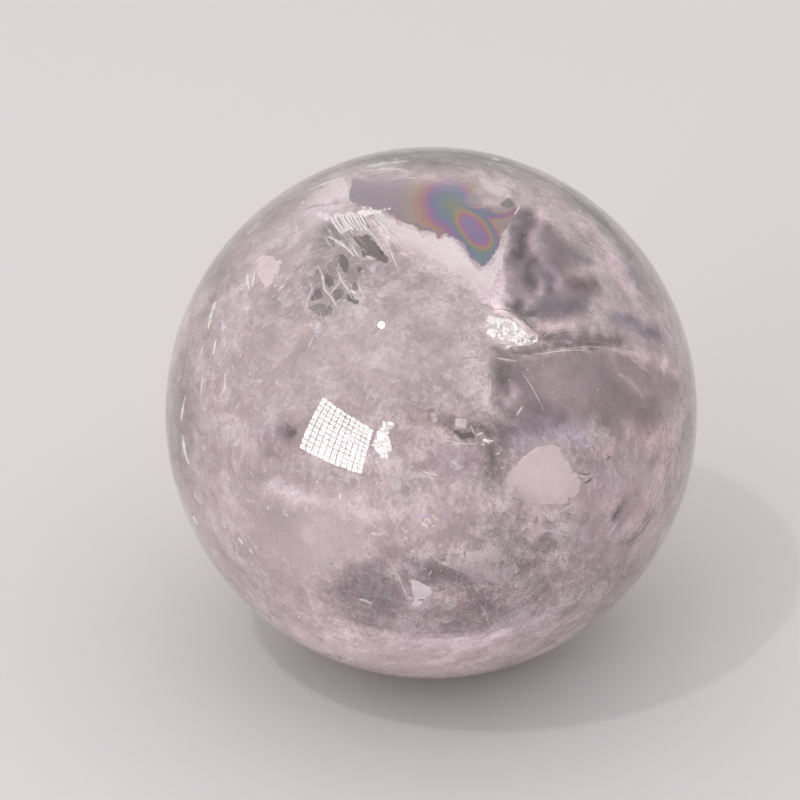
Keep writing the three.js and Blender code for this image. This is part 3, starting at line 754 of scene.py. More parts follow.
def as_seen(places):
    """Where places in the stone are seen from the front: mm right, mm up, and mm behind the near skin."""
    local = places - BALL_CENTRE
    x, y, z = local @ RIGHT, local @ UP, local @ BACK
    off = np.hypot(x, y) + 1e-9
    # halve the range that holds the line of sight to the place, from the middle of the ball to its limb
    low, high = np.zeros_like(off), np.full_like(off, LIMB)
    for _ in range(HALVINGS):
        guess = (low + high) / 2
        entry, bent = bent_sight(guess / MM, np.zeros_like(guess))
        lies = entry[:, 0] + bent[:, 0] / bent[:, 2] * (z - entry[:, 2])
        low, high = np.where(lies > off, low, guess), np.where(lies > off, guess, high)
    return guess * x / off / MM, guess * y / off / MM, (entry[:, 2] - z) / -bent[:, 2] / MM


def from_centre(places):
    return np.linalg.norm(places - BALL_CENTRE, axis=-1)


def forward(places):
    """How far places lie towards the front: 1 at the skin there, 0 in the middle, -1 at the back."""
    return (places - BALL_CENTRE) @ BACK / BALL_RADIUS


def turned(places, degrees):
    """Places turned that much round the ball's upright axis."""
    turn = math.radians(degrees)
    x, y, z = (places - BALL_CENTRE).T
    right, back = x * math.cos(turn) - y * math.sin(turn), x * math.sin(turn) + y * math.cos(turn)
    return BALL_CENTRE + np.stack([right, back, z], axis=1)


def beside_front(x, y, side_on):
    """Whether a place laid out on another side lies out of sight from the front."""
    return forward(turned(seen([x], [y], [SIDE_DEEP]), side_on))[0] < OUT_OF_SIGHT


def mm_to_line(points, ends):
    """How far each point is from the line through the ends."""
    nearest = np.full(len(points), 1e9)
    for a, b in zip(ends, ends[1:]):
        t = np.clip((points - a) @ (b - a) / ((b - a) @ (b - a)), 0, 1)
        nearest = np.minimum(nearest, np.linalg.norm(points - a - t[:, None] * (b - a), axis=1))
    return nearest


def within(points, outline):
    """Which points lie within a closed outline."""
    inside_it = np.zeros(len(points), bool)
    for (ax, ay), (bx, by) in zip(outline, np.roll(outline, -1, axis=0)):
        crosses = (ay > points[:, 1]) != (by > points[:, 1])
        at = ax + (points[:, 1] - ay) / (by - ay if by != ay else 1e-9) * (bx - ax)
        inside_it ^= crosses & (points[:, 0] < at)
    return inside_it


class Chart:
    """Values measured on a grid over the front, each read at the grid's point nearest to x, y mm."""

    def __init__(self, measure, step, reach):
        self.step, self.reach = step, reach
        line = np.arange(-reach, reach + step / 2, step)
        x, y = (side.ravel() for side in np.meshgrid(line, line, indexing="ij"))
        self.values = measure(x, y).reshape(len(line), len(line))

    def __call__(self, *places):
        nearest = (((side + self.reach) / self.step).round().astype(int) for side in places)
        column, row = (np.clip(number, 0, len(self.values) - 1) for number in nearest)
        return self.values[column, row]


@functools.lru_cache
def inward(outline):
    """A chart of how far in mm a place lies within an outline, below 0 outside it."""
    def measure(x, y):
        points = np.stack([x, y], axis=1)
        nearest = mm_to_line(points, np.array([*outline, outline[0]], float))
        return np.where(within(points, outline), nearest, -nearest)
    return Chart(measure, step=0.25, reach=31.0)


def outward(places, faces):
    """The faces of a closed shell, turned so that they look outwards."""
    a, b, c = (places[faces[:, k]] - places.mean(axis=0) for k in range(3))
    volume = np.einsum("ij,ij->", a, np.cross(b, c))
    return faces if volume > 0 else faces[:, ::-1]


class Growing:
    """A mesh that grows by closed shells of triangles, with a tint and an opacity at each vertex."""

    def __init__(self):
        self.places, self.faces, self.tints, self.skins, self.rims = [], [], [], [], []
        self.count = 0

    def add(self, places, faces, tint=ROSY_WHITE, opacity=1.0, skin=0, rim=False):
        number = len(places)
        tints = np.ones((number, 4))
        tints[:, :3] = tint
        tints[:, 3] = opacity
        self.places.append(np.asarray(places, float))
        self.faces.append(np.asarray(faces, int) + self.count)
        self.tints.append(tints)
        self.skins.append(np.broadcast_to(np.asarray(skin, np.int32), len(faces)))
        self.rims.append(np.broadcast_to(np.asarray(rim, bool), number))
        self.count += number

    def mesh(self, name, materials, smooth):
        mesh = bpy.data.meshes.new(name)
        faces = np.concatenate(self.faces)
        mesh.from_pydata(np.concatenate(self.places).tolist(), [], faces.tolist())
        mesh.polygons.foreach_set("use_smooth", np.full(len(faces), smooth))
        mesh.polygons.foreach_set("material_index", np.concatenate(self.skins))
        tints = mesh.attributes.new("tint", "FLOAT_COLOR", "POINT")
        tints.data.foreach_set("color", np.concatenate(self.tints).ravel())
        ends = np.empty(len(mesh.edges) * 2, np.int32)
        mesh.edges.foreach_get("vertices", ends)
        sharp = np.concatenate(self.rims)[ends.reshape(-1, 2)].all(axis=1)
        mesh.edges.foreach_set("use_edge_sharp", sharp)
        for made in materials:
            mesh.materials.append(made)
        return mesh

    def piece(self, name, materials, smooth=True):
        piece = new_object(name, self.mesh(name, materials, smooth))
        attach(piece, "root")
        # small flaws leave no shade on what lies behind them
        piece.visible_shadow = name == "quartz_ball"
        piece.visible_diffuse = name in ("quartz_ball", "milky_part")
        return piece


def set_values(piece, name, values):
    """Gives each vertex of a piece a value that its material reads."""
    piece.data.attributes.new(name, "FLOAT", "POINT").data.foreach_set("value", values)


class Look:
    """The nodes of a material or of the world, added one by one."""

    def __init__(self, owner):
        owner.use_nodes = True
        self.owner, self.tree = owner, owner.node_tree
        self.tree.nodes.clear()

    def add(self, kind, inputs, settings):
        """A new node. Each of its inputs gets a plain value or another node's output."""
        made = self.tree.nodes.new("ShaderNode" + kind)
        for name, value in settings.items():
            setattr(made, name, value)
        for name, value in inputs.items():
            if isinstance(value, bpy.types.NodeSocket):
                self.tree.links.new(value, made.inputs[name])
            else:
                made.inputs[name].default_value = value
        return made

    def node(self, kind, inputs=None, output=0, **settings):
        """The output of a new node."""
        return self.add(kind, inputs or {}, settings).outputs[output]

    def finish(self, kind="OutputMaterial", **ends):
        self.add(kind, ends, {})
        return self.owner

    def attribute(self, name, output="Fac"):
        return self.node("Attribute", output=output, attribute_name=name)

    def noise(self, where, scale, detail, rough, distort=0.0, output="Fac"):
        inputs = {"Vector": where, "Scale": scale, "Detail": detail, "Roughness": rough,
                  "Distortion": distort}
        return self.node("TexNoise", inputs, output)

    def stretched(self, where, turn):
        return self.node("Mapping", {"Vector": where, "Rotation": turn, "Scale": MOTTLE_STRETCH})

    def math(self, operation, *values, **settings):
        return self.node("Math", dict(enumerate(values)), operation=operation, **settings)

    def times(self, a, b):
        return self.math("MULTIPLY", a, b, use_clamp=True)

    def ranged(self, value, given, wanted=(0.0, 1.0)):
        """A value that is brought from the given range to the wanted one."""
        return self.node("MapRange", {"Value": value, "From Min": given[0], "From Max": given[1],
                                      "To Min": wanted[0], "To Max": wanted[1]})

    def ramp(self, value, stops):
        """A colour ramp, from pairs of a position and a colour."""
        colour = self.node("ValToRGB", {"Fac": value})
        elements = colour.node.color_ramp.elements
        for element, (position, shade) in zip(elements, (stops[0], stops[-1])):
            element.position, element.color = position, (*shade, 1)
        for position, shade in stops[1:-1]:
            elements.new(position).color = (*shade, 1)
        return colour

    def cloudy(self, colour, alpha):
        """Scatters light where alpha is high, a share of it to the far side, and is clear elsewhere."""
        front = self.node("BsdfPrincipled", {"Base Color": colour, "Roughness": 0.45,
                                             "Specular IOR Level": 0.3})
        both = self.node("MixShader", {0: LET_THROUGH, 1: front,
                                       2: self.node("BsdfTranslucent", {"Color": colour})})
        clear = self.node("BsdfTransparent")
        return self.finish(Surface=self.node("MixShader", {0: alpha, 1: clear, 2: both}))


def new_look(name):
    return Look(bpy.data.materials.new(name))


def quartz_material():
    look = new_look("rock_quartz")
    skin = look.node("BsdfPrincipled", {"Base Color": (1, 1, 1, 1), "Roughness": 0.0,
                                        "IOR": QUARTZ_IOR, "Transmission Weight": 1})
    inside = look.node("VolumeAbsorption", {"Color": (0.25, 0.10, 0.13, 1), "Density": 11.0})
    return look.finish(Surface=skin, Volume=inside)


def grain_material(name, colour, rough, metal=0.0):
    look = new_look(name)
    shader = look.node("BsdfPrincipled", {"Base Color": (*colour, 1), "Roughness": rough,
                                          "Metallic": metal})
    return look.finish(Surface=shader)


def veil_material():
    look = new_look("healed_crack")
    return look.cloudy(look.attribute("tint", "Color"), look.attribute("tint", "Alpha"))


def face_material(bordered=False):
    """A cloudy sheet; with borders, its edge breaks up into specks where the face fades out."""
    look = new_look("crack_face" if bordered else "hair_crack")
    where = look.node("TexCoord", output="Object")
    grain = look.noise(where, scale=1200, detail=5, rough=0.7, distort=0.2)
    alpha = look.ranged(grain, (0.35, 0.55), (0.88, 1.0))
    if bordered:
        above = look.math("SUBTRACT", look.attribute("border"), look.ranged(grain, (0.32, 0.68)))
        alpha = look.times(alpha, look.ranged(above, (0.0, 0.3)))
    alpha = look.times(alpha, look.attribute("tint", "Alpha"))
    return look.cloudy(look.attribute("tint", "Color"), alpha)


def rainbow_material():
    look = new_look("rainbow_gap_painted_sheen")
    # painted sheen: the gap's width picks the rainbow colour
    colour = look.ramp(look.attribute("gap"), PAINTED_RAINBOW_SHEEN)
    return look.cloudy(colour, look.attribute("tint", "Alpha"))


def chip_tone(look, where, warp, size):
    """A tone from 0 to 1 that is the same within each angular cell, with borders bent by the warp noise."""
    moved = look.node("VectorMath", {0: warp, 1: (CHIP_WARP * size,) * 3, 2: where},
                      operation="MULTIPLY_ADD")
    return look.node("SeparateColor", {0: look.node("TexVoronoi", {"Vector": moved, "Scale": 1 / size},
                                                    "Color")})


def vein_tone(look, where, scale, turn):
    """1 along thin wandering lines, 0 away from them."""
    wave = look.noise(look.stretched(where, turn), scale, detail=3, rough=0.6)
    off = look.math("ABSOLUTE", look.math("SUBTRACT", wave, 0.5))
    return look.ranged(off, (0.0, VEIN_WIDTH), (1.0, 0.0))


def weighed(look, parts):
    """The noise's mean plus each value's difference from its own mean times its share."""
    total = NOISE_MEAN - sum(share * mean for _, share, mean in parts)
    for value, share, _ in parts:
        total = look.math("MULTIPLY_ADD", value, share, total)
    return total


def milky_material():
    """Milky quartz: rosy white, with soft blotches, mottling and fine grain."""
    look = new_look("milky_quartz")
    where = look.node("TexCoord", output="Object")
    large = look.noise(where, scale=260, detail=7, rough=0.68)
    fine = look.noise(look.stretched(where, MOTTLE_TURN), scale=1700, detail=4, rough=0.75, distort=0.2)
    warp = look.noise(where, scale=700, detail=3, rough=0.6, output="Color")
    broad = look.noise(where, scale=130, detail=3, rough=0.6)
    veined = look.ranged(broad, (0.4, 0.6), (0.1, 0.75))
    parts = [(large, LARGE_SHARE, NOISE_MEAN), (fine, FINE_SHARE, NOISE_MEAN)]
    for size, share in CHIPS:
        parts.append((chip_tone(look, where, warp, size), share, NOISE_MEAN))
    for scale, turn, share in VEINS:
        parts.append((look.times(vein_tone(look, where, scale, turn), veined), share, VEIN_MEAN))
    # the tint's alpha says how strong the mottling is: 1 is plain
    strength = look.ranged(look.attribute("tint", "Alpha"), (0.0, 2.0), (0.25, 1.75))
    mottled = look.node("Mix", {"Factor": strength, MIX_VALUE_A: NOISE_MEAN,
                                MIX_VALUE_B: weighed(look, parts)}, clamp_factor=False)
    milk = look.ramp(look.ranged(mottled, (0.36, 0.64)), MILKY_STOPS)
    toned = look.node("Mix", {"Factor": 1.0, MIX_COLOUR_A: milk,
                              MIX_COLOUR_B: look.attribute("tint", "Color")},
                      MIX_COLOUR_OUT, data_type="RGBA", blend_type="MULTIPLY")
    shader = look.node("BsdfPrincipled", {"Base Color": toned, "Roughness": 0.5, "Specular IOR Level": 0.2})
    return look.finish(Surface=shader)


def shell_of_loops(loops, first, last):
    """A closed shell: loops of equally many points, with a point at each end."""
    sides = len(loops[0])
    places = np.concatenate([[first], *loops, [last]])
    k = np.arange(sides)
    after = (k + 1) % sides
    faces = [np.stack([np.zeros(sides, int), 1 + k, 1 + after], axis=1)]
    for i in range(len(loops) - 1):
        a, b = 1 + i * sides, 1 + (i + 1) * sides
        faces.append(np.stack([a + k, b + k, b + after], axis=1))
        faces.append(np.stack([a + k, b + after, a + after], axis=1))
    a, end = 1 + (len(loops) - 1) * sides, 1 + len(loops) * sides
    faces.append(np.stack([a + k, np.full(sides, end), a + after], axis=1))
    return places, np.concatenate(faces)


def make_ball(sides=240, rings=150):
    """The polished skin, from the middle of its small foot up to its top."""
    foot_radius = math.sqrt(BALL_RADIUS ** 2 - BALL_CENTRE[2] ** 2)
    foot = -math.acos(foot_radius / BALL_RADIUS)
    turn = 2 * np.pi * np.arange(sides) / sides
    loops = []
    for i in range(rings):
        rise = foot + (math.pi / 2 - foot) * i / rings
        around = np.stack([np.cos(turn), np.sin(turn), np.zeros(sides)], axis=1) * math.cos(rise)
        around[:, 2] = math.sin(rise)
        loops.append(BALL_CENTRE + around * BALL_RADIUS)
    loops[0][:, 2] = 0
    places, faces = shell_of_loops(loops, (0, 0, 0), BALL_CENTRE + np.array([0, 0, BALL_RADIUS]))
    growing = Growing()
    growing.add(places, faces[:, ::-1])
    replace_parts(growing.piece("quartz_ball", [quartz_material()]), "crystal_ball")


def far_window(places):
    """1 in the clearer parts of the far side, 0 outside them."""
    clear = smooth_step(-0.1, 0.5, fractal(places, size_mm=10, octaves=4, shift=31.0))
    return smooth_step(0.0, -0.3, forward(places)) * clear


def ripple(places):
    """Noise that makes the edges of the windows uneven, in their shape as in their tone."""
    return fractal(places, size_mm=3, octaves=4, shift=17.0)


def hollowed(field, inside, deep, bottom, steep):
    """The field with a hollow behind the skin where inside, in mm, is above 0. Its sides fall steeply."""
    hollow = (deep - np.minimum(steep * inside, bottom)) / (1 + steep)
    return np.minimum(field, np.where(inside > 0, hollow, 99))


def milky_field():
    """How far in mm the nodes of a grid lie within the milky part, below 0 where the stone is clear."""
    steps = np.arange(-GRID_HALF, GRID_HALF + 1) * CELL
    nodes = np.stack(np.meshgrid(steps, steps, steps, indexing="ij"), axis=-1)
    far = np.linalg.norm(nodes, axis=-1)
    near = far < MILKY_WITHIN + 2 * CELL
    within_milk = (MILKY_WITHIN - far[near]) / MM
    places = nodes[near] + BALL_CENTRE
    x, y, deep = as_seen(places)
    lumps = fractal(places, size_mm=8, octaves=3, shift=3.0)
    uneven = 0.7 * ripple(places)
    value = within_milk - np.clip(MILKY_SUNK + lumps, 0.1, 6)
    for outline, bottom, *_ in CLEARINGS:
        value = hollowed(value, inward(outline)(x, y) + uneven, deep, bottom + 0.4 * lumps, HOLLOW_STEEP)
    for outline, _, _, widest in GLINTS:
        if widest > WIDE_FLAKE:
            value = hollowed(value, inward(outline)(x, y) + 0.5, deep, FLAKE_ROOM, FLAKE_STEEP)
    behind_rainbow = deep - RAINBOW_DEEP - RAINBOW_ROOM
    value = np.minimum(value, np.maximum(-inward(RAINBOW)(x, y), behind_rainbow))
    value -= FAR_HOLLOW * far_window(places)
    field = np.full(far.shape, -5.0)
    field[near] = np.minimum(value, within_milk)
    return field


def sample(field, places):
    """The field between its nodes."""
    at = (places - BALL_CENTRE - GRID_START) / CELL
    cell = np.clip(np.floor(at).astype(int), 0, np.array(field.shape) - 2)
    t = at - cell
    total = np.zeros(len(places))
    for corner in np.ndindex(2, 2, 2):
        share = np.prod(np.where(corner, t, 1 - t), axis=1)
        total += share * field[tuple((cell + corner).T)]
    return total


def milky_front(field):
    """A chart of how many mm behind the near skin the milky part begins."""
    def measure(x, y):
        deep = np.full(len(x), DEEPEST)
        for level in np.arange(DEEPEST, 0.2, -0.2):
            deep[sample(field, seen(x, y, np.full(len(x), level))) > 0] = level
        return deep
    return Chart(measure, step=0.5, reach=29.5)


def side_front(x, y):
    """How many mm behind the skin the milky part begins at least, on the other sides."""
    return np.full(np.shape(x), SIDE_DEEP)


def crossings_along(field, axis):
    """Which edges of the grid along an axis the surface cuts, where on them, and from inside to outside."""
    low, high = [slice(None)] * 3, [slice(None)] * 3
    low[axis], high[axis] = slice(None, -1), slice(1, None)
    a, b = field[tuple(low)], field[tuple(high)]
    cut = (a > 0) != (b > 0)
    return cut, np.where(cut, a / np.where(cut, a - b, 1), 0), a > 0


def surface_of(field):
    """The closed surface where a field falls through 0, with one vertex in each cell that it cuts."""
    shape = np.array(field.shape) - 1
    count = np.zeros(shape)
    shift = np.zeros((*shape, 3))
    crossings = [crossings_along(field, axis) for axis in range(3)]
    for axis, (cut, share, _) in enumerate(crossings):
        side, other = (axis + 1) % 3, (axis + 2) % 3
        for i, j in np.ndindex(2, 2):
            pick = [slice(None)] * 3
            pick[side], pick[other] = slice(i, i - 1 or None), slice(j, j - 1 or None)
            here = cut[tuple(pick)]
            count += here
            shift[..., axis] += share[tuple(pick)]
            shift[..., side] += i * here
            shift[..., other] += j * here
    used = count > 0
    vertex = np.full(shape, -1)
    vertex[used] = np.arange(used.sum())
    places = BALL_CENTRE + GRID_START + CELL * (np.argwhere(used) + shift[used] / count[used][:, None])
    faces = []
    for axis, (cut, _, solid) in enumerate(crossings):
        at = np.argwhere(cut)
        ring = []
        for i, j in ((-1, -1), (0, -1), (0, 0), (-1, 0)):
            step = np.zeros(3, int)
            step[(axis + 1) % 3], step[(axis + 2) % 3] = i, j
            ring.append(vertex[tuple((at + step).T)])
        quads = np.stack(ring, axis=1)
        inverted = ~solid[tuple(at.T)]
        quads[inverted] = quads[inverted][:, ::-1]
        faces += [quads[:, [0, 1, 2]], quads[:, [0, 2, 3]]]
    return places, np.concatenate(faces)


def spot(x, y, right, up, half_width, half_height, lean):
    """A soft oval spot, 1 at its middle and a half at its edge."""
    turn = math.radians(lean)
    u = ((x - right) * math.cos(turn) + (y - up) * math.sin(turn)) / half_width
    v = ((y - up) * math.cos(turn) - (x - right) * math.sin(turn)) / half_height
    return 0.5 ** ((u ** 2 + v ** 2) ** 1.5)


def band(x, y, points, half):
    """A soft band along points, 1 on its line and a half at its edges."""
    nearest = mm_to_line(np.stack([x, y], axis=1), curve_through(points, 1.0))
    return 0.5 ** ((nearest / half) ** 2)


def toned(tone, share, shade):
    """The tone multiplied by the shade where share is 1, and left as it is where it is 0."""
    return tone * (1 - share[:, None] * (1 - np.array(shade)))


def milky_tone(places, x, y):
    """The colour that the milky part's own is multiplied by: greyer where it lies behind clear windows, with
    painted shade at the top of the rim and painted light at the foot and on the far side.
    """
    uneven = ripple(places)
    shifted_x = x + 0.5 * fractal(places, size_mm=1.6, octaves=4, shift=41.0)
    shifted_y = y + 0.5 * fractal(places, size_mm=1.6, octaves=4, shift=67.0)
    tone = np.ones((len(places), 3))
    for outline, _, grey, soft, softer_right, softer_up in CLEARINGS:
        middle = np.mean(outline, axis=0)
        edge = np.clip(soft + softer_right * (x - middle[0]) + softer_up * (y - middle[1]), 0.25, 5)
        tone = toned(tone, smooth_step(-1, 1, inward(outline)(x, y) / edge + uneven), grey)
    for *where, shade in SHADES:
        tone = toned(tone, spot(shifted_x, shifted_y, *where), shade)
    for points, half, shade in BANDS:
        tone = toned(tone, band(shifted_x, shifted_y, points, half), shade)
    # painted shade and light: the rim is greyer at the top, for the dark reflection it would show, and the
    # foot is paler, to make up for the light it lacks
    painted_rim_shade = smooth_step(4.0, 26.0, y) * smooth_step(26.0, 29.5, np.hypot(x, y))
    tone *= 1 - 0.3 * painted_rim_shade[:, None]
    tone *= 1 + 0.35 * smooth_step(-20.0, -27.0, y)[:, None]
    tone *= 1 + 0.07 * fractal(places, size_mm=3.0, octaves=5, shift=53.0)[:, None]
    behind = smooth_step(0.0, -0.3, forward(places))[:, None]
    # on the far side: random blotches, darker in its soft windows, and 15% of painted light that makes up
    # for the shade it lies in
    blotches_and_painted_light = 1 + 0.15 * fractal(places, size_mm=5.0, octaves=5, shift=53.0)
    blotches_and_painted_light = (1.15 - 0.4 * far_window(places)) * blotches_and_painted_light
    return tone + behind * (blotches_and_painted_light[:, None] - tone)


def make_milky_part(field):
    places, faces = surface_of(field)
    x, y, _ = as_seen(places)
    shown = smooth_step(-0.1, 0.1, forward(places))
    mottled = 1 - 0.5 * far_window(places)
    for *where, change in MOTTLING:
        mottled += change * shown * spot(x, y, *where)
    for outline in (TOP_WINDOW, GREY_WINDOW):
        mottled -= 0.8 * shown * smooth_step(-1.0, 2.0, inward(outline)(x, y))
    growing = Growing()
    growing.add(places, faces, milky_tone(places, x, y), np.clip(mottled, 0, 2))
    growing.piece("milky_part", [milky_material()])


def near_milky(draw, field, number, reach):
    """Places in the clear stone within about the given mm of the milky part."""
    found = []
    while sum(map(len, found)) < number:
        chosen = draw.uniform(-1, 1, (PLACES_AT_ONCE, 3)) * BALL_RADIUS + BALL_CENTRE
        outside = -sample(field, chosen)
        kept = (outside > 0.05) & (np.exp(-outside / reach) > draw.uniform(0, 1, len(chosen)))
        kept &= from_centre(chosen) < 0.99 * FLAWS_WITHIN
        found.append(chosen[kept])
    return np.concatenate(found)[:number]


def grains_at(draw, spots):
    """A flat little pyramid at each spot, each turned its own way."""
    number = len(spots)
    shape = np.array([(1, 0, 0), (-0.5, 0.87, 0), (-0.5, -0.87, 0), (0, 0, 0.35)])
    a = unit(draw.normal(0, 1, (number, 3)))
    b = unit(np.cross(a, draw.normal(0, 1, (number, 3))))
    axes = np.stack([a, b, np.cross(a, b)], axis=1)
    size = draw.uniform(*SPECK_SIZE, number) * MM
    stretch = draw.uniform(0.5, 1.6, (number, 1, 3))
    corners = (shape * stretch * size[:, None, None]) @ axes + spots[:, None]
    faces = np.array([(0, 2, 1), (0, 1, 3), (1, 2, 3), (2, 0, 3)]) + 4 * np.arange(number)[:, None, None]
    return corners.reshape(-1, 3), faces.reshape(-1, 3)


def make_specks(field):
    """Tiny bright grains just in front of the milky part."""
    draw = np.random.default_rng(SPECK_SEED)
    kinds = draw.choice(2, SPECKS, p=(1 - MIRROR_SHARE, MIRROR_SHARE))
    growing = Growing()
    growing.add(*grains_at(draw, near_milky(draw, field, SPECKS, 0.4)), skin=np.repeat(kinds, 4))
    skins = [grain_material("grain_white", PAINTED_GLINT_AND_SPECK, 0.3),
             grain_material("grain_mirror", (0.95, 0.93, 0.94), 0.2, 1.0)]
    growing.piece("specks", skins, smooth=False)


def shards_at(draw, centres, normals, sizes):
    """A thin closed flake with an angular outline at each centre, drawn out along a direction of its own."""
    number = len(centres)
    side = unit(np.cross(normals, draw.normal(0, 1, (number, 3))))
    other = np.cross(normals, side)
    k = np.arange(SHARD_CORNERS)
    turn = (k + draw.uniform(-0.4, 0.4, (number, SHARD_CORNERS))) * 2 * np.pi / SHARD_CORNERS
    reach = sizes[:, None] * draw.uniform(0.4, 1.15, (number, SHARD_CORNERS))
    narrow = draw.uniform(0.12, 0.9, (number, 1))
    lift = draw.normal(0, 0.08, (number, SHARD_CORNERS)) * sizes[:, None]
    rim = centres[:, None] + (np.cos(turn) * reach)[..., None] * side[:, None]
    rim += (np.sin(turn) * reach * narrow)[..., None] * other[:, None] + lift[..., None] * normals[:, None]
    swell = normals * (0.02 * MM + 0.01 * sizes[:, None])
    places = np.concatenate([(centres + swell)[:, None], rim, (centres - swell)[:, None]], axis=1)
    after = (k + 1) % SHARD_CORNERS
    front = np.stack([np.zeros_like(k), 1 + k, 1 + after], axis=1)
    back = np.stack([np.full_like(k, 1 + SHARD_CORNERS), 1 + after, 1 + k], axis=1)
    faces = np.concatenate([front, back]) + SHARD_PLACES * np.arange(number)[:, None, None]
    return places.reshape(-1, 3), faces.reshape(-1, 3)


def crack_normal(draw):
    chosen = np.array(CRACK_NORMALS[draw.integers(len(CRACK_NORMALS))])
    chosen = chosen + draw.normal(0, 0.3, 3)
    return chosen / np.linalg.norm(chosen)


def veil_tint(draw):
    tint = np.array(BRIGHT) + draw.uniform(0, 0.6) * (np.array(PALE_BLUE) - BRIGHT)
    return tint * draw.uniform(0.85, 1.0)


def make_healed_cracks(field):
    """Small bright flakes of healed cracks in front of the milky part, on all sides."""
    draw = np.random.default_rng(SHARD_SEED)
    centres = near_milky(draw, field, SHARDS, 0.7)
    x, y, _ = as_seen(centres)
    in_window = np.zeros(len(centres), bool)
    for outline in (TOP_WINDOW, GREY_WINDOW, LOW_WINDOW, RAINBOW):
        in_window |= inward(outline)(x, y) > -0.5
    centres = centres[~((forward(centres) > 0) & in_window)]
    number = len(centres)
    normals = np.array([crack_normal(draw) for _ in range(number)])
    sizes = (0.1 + 1.3 * draw.uniform(0, 1, number) ** 4) * MM
    room = 0.9 * (FLAWS_WITHIN - from_centre(centres))
    places, faces = shards_at(draw, centres, normals, np.clip(sizes, 0.03 * MM, room))
    opacity = draw.uniform(0.2, 0.9, (number, 1)) * draw.uniform(0.2, 1.0, (number, SHARD_PLACES))
    opacity[:, -1] = 0
    tints = np.array([veil_tint(draw) for _ in range(number)])
    growing = Growing()
    growing.add(places, faces, np.repeat(tints, SHARD_PLACES, axis=0), opacity.ravel())
    growing.piece("healed_cracks", [veil_material()], smooth=False)


def ragged_outline(outline, ragged, step, seed):
    """An outline with its straight runs divided into steps and roughened."""
    points = np.array(outline, float)
    fine = []
    for a, b in zip(points, np.roll(points, -1, axis=0)):
        number = max(1, int(round(np.linalg.norm(b - a) / step)))
        fine += [a + (b - a) * i / number for i in range(number)]
    fine = np.array(fine)
    shake = [[noise.noise(Vector((p[0] * 1.3, p[1] * 1.3, seed + k))) for k in (0.3, 7.7)] for p in fine]
    return fine + ragged * np.array(shake)


def mm_to_points(points, others):
    return np.linalg.norm(points[:, None] - others[None], axis=2).min(axis=1)


def triangles_within(rim, step, off_rim, seed):
    """Points about a step apart that fill a closed outline, and the triangles between them."""
    low, high = rim.min(axis=0), rim.max(axis=0)
    grid = np.stack(np.meshgrid(np.arange(low[0], high[0], step), np.arange(low[1], high[1], step)), -1)
    shake = np.random.default_rng(seed).uniform(-0.3, 0.3, (grid.size // 2, 2))
    grid = grid.reshape(-1, 2) + shake * step
    grid = grid[(mm_to_points(grid, rim) > off_rim) & within(grid, rim)]
    start = [Vector(p) for p in np.concatenate([rim, grid])]
    runs = [(i, (i + 1) % len(rim)) for i in range(len(rim))]
    points, _, triangles, *_ = geometry.delaunay_2d_cdt(start, runs, [], 0, 1e-5, False)
    points, triangles = np.array([list(p) for p in points]), np.array(triangles)
    triangles = triangles[within(points[triangles].mean(axis=1), rim)]
    used, renumbered = np.unique(triangles, return_inverse=True)
    return points[used], renumbered.reshape(-1, 3)


def border_of(triangles, number):
    """Which vertices lie on an open edge."""
    sides = [triangles[:, [0, 1]], triangles[:, [1, 2]], triangles[:, [2, 0]]]
    edges, counts = np.unique(np.sort(np.concatenate(sides), axis=1), axis=0, return_counts=True)
    borders = np.zeros(number, bool)
    borders[edges[counts == 1].ravel()] = True
    return borders


class Plate:
    """A thin closed sheet that fills an outline, in mm as seen. depth is a function of x and y.
    For each of its places it has x, y, the mm to the outline, and whether it is at the back and on
    the rim."""

    def __init__(self, outline, depth, seed, ragged, step=0.6, edge_step=0.3, thickness=0.08):
        rim = ragged_outline(outline, ragged, edge_step, seed)
        points, triangles = triangles_within(rim, step, 0.45 * edge_step, seed)
        to_rim = mm_to_points(points, rim)
        borders = border_of(triangles, len(points))
        x, y = points.T
        swell = thickness / 2 * np.where(borders, 0, np.minimum(1, 0.3 + to_rim))
        near, far = seen(x, y, depth(x, y) - swell), seen(x, y, depth(x, y) + swell)
        # the far side shares the rim with the near one
        front, inner = np.arange(len(points)), np.flatnonzero(~borders)
        twin = np.where(borders, front, 0)
        twin[inner] = len(points) + np.arange(len(inner))
        self.places = np.concatenate([near, far[inner]])
        self.faces = outward(self.places, np.concatenate([triangles, twin[triangles][:, ::-1]]))
        both = np.concatenate([front, inner])
        self.x, self.y, self.inward, self.rim = x[both], y[both], to_rim[both], borders[both]
        self.at_back = np.arange(len(both)) >= len(points)


def tilted(at, middle, right=0.0, up=0.0):
    """Depths in mm of a plane through the point at, that falls back to the right and upwards."""
    return lambda x, y: np.maximum(middle + (x - at[0]) * right + (y - at[1]) * up, 0.3)


def random_patch(draw):
    """A row like those of the faces: an angular patch, drawn out one way, somewhere in sight."""
    corners = draw.integers(6, 10)
    turn = (np.arange(corners) + draw.uniform(-0.35, 0.35, corners)) * 2 * np.pi / corners
    reach = draw.uniform(0.8, 2.3) ** 2 * draw.uniform(0.6, 1.1, corners)
    lean = draw.uniform(0, np.pi)
    across, along = reach * np.cos(turn), draw.uniform(0.25, 0.7) * reach * np.sin(turn)
    off, way = PATCHES_WITHIN * math.sqrt(draw.uniform(0, 1)), draw.uniform(0, 2 * np.pi)
    x = off * math.cos(way) + across * math.cos(lean) - along * math.sin(lean)
    y = off * math.sin(way) + across * math.sin(lean) + along * math.cos(lean)
    return (np.column_stack([x, y]), *PATCH_KINDS[draw.integers(len(PATCH_KINDS))])


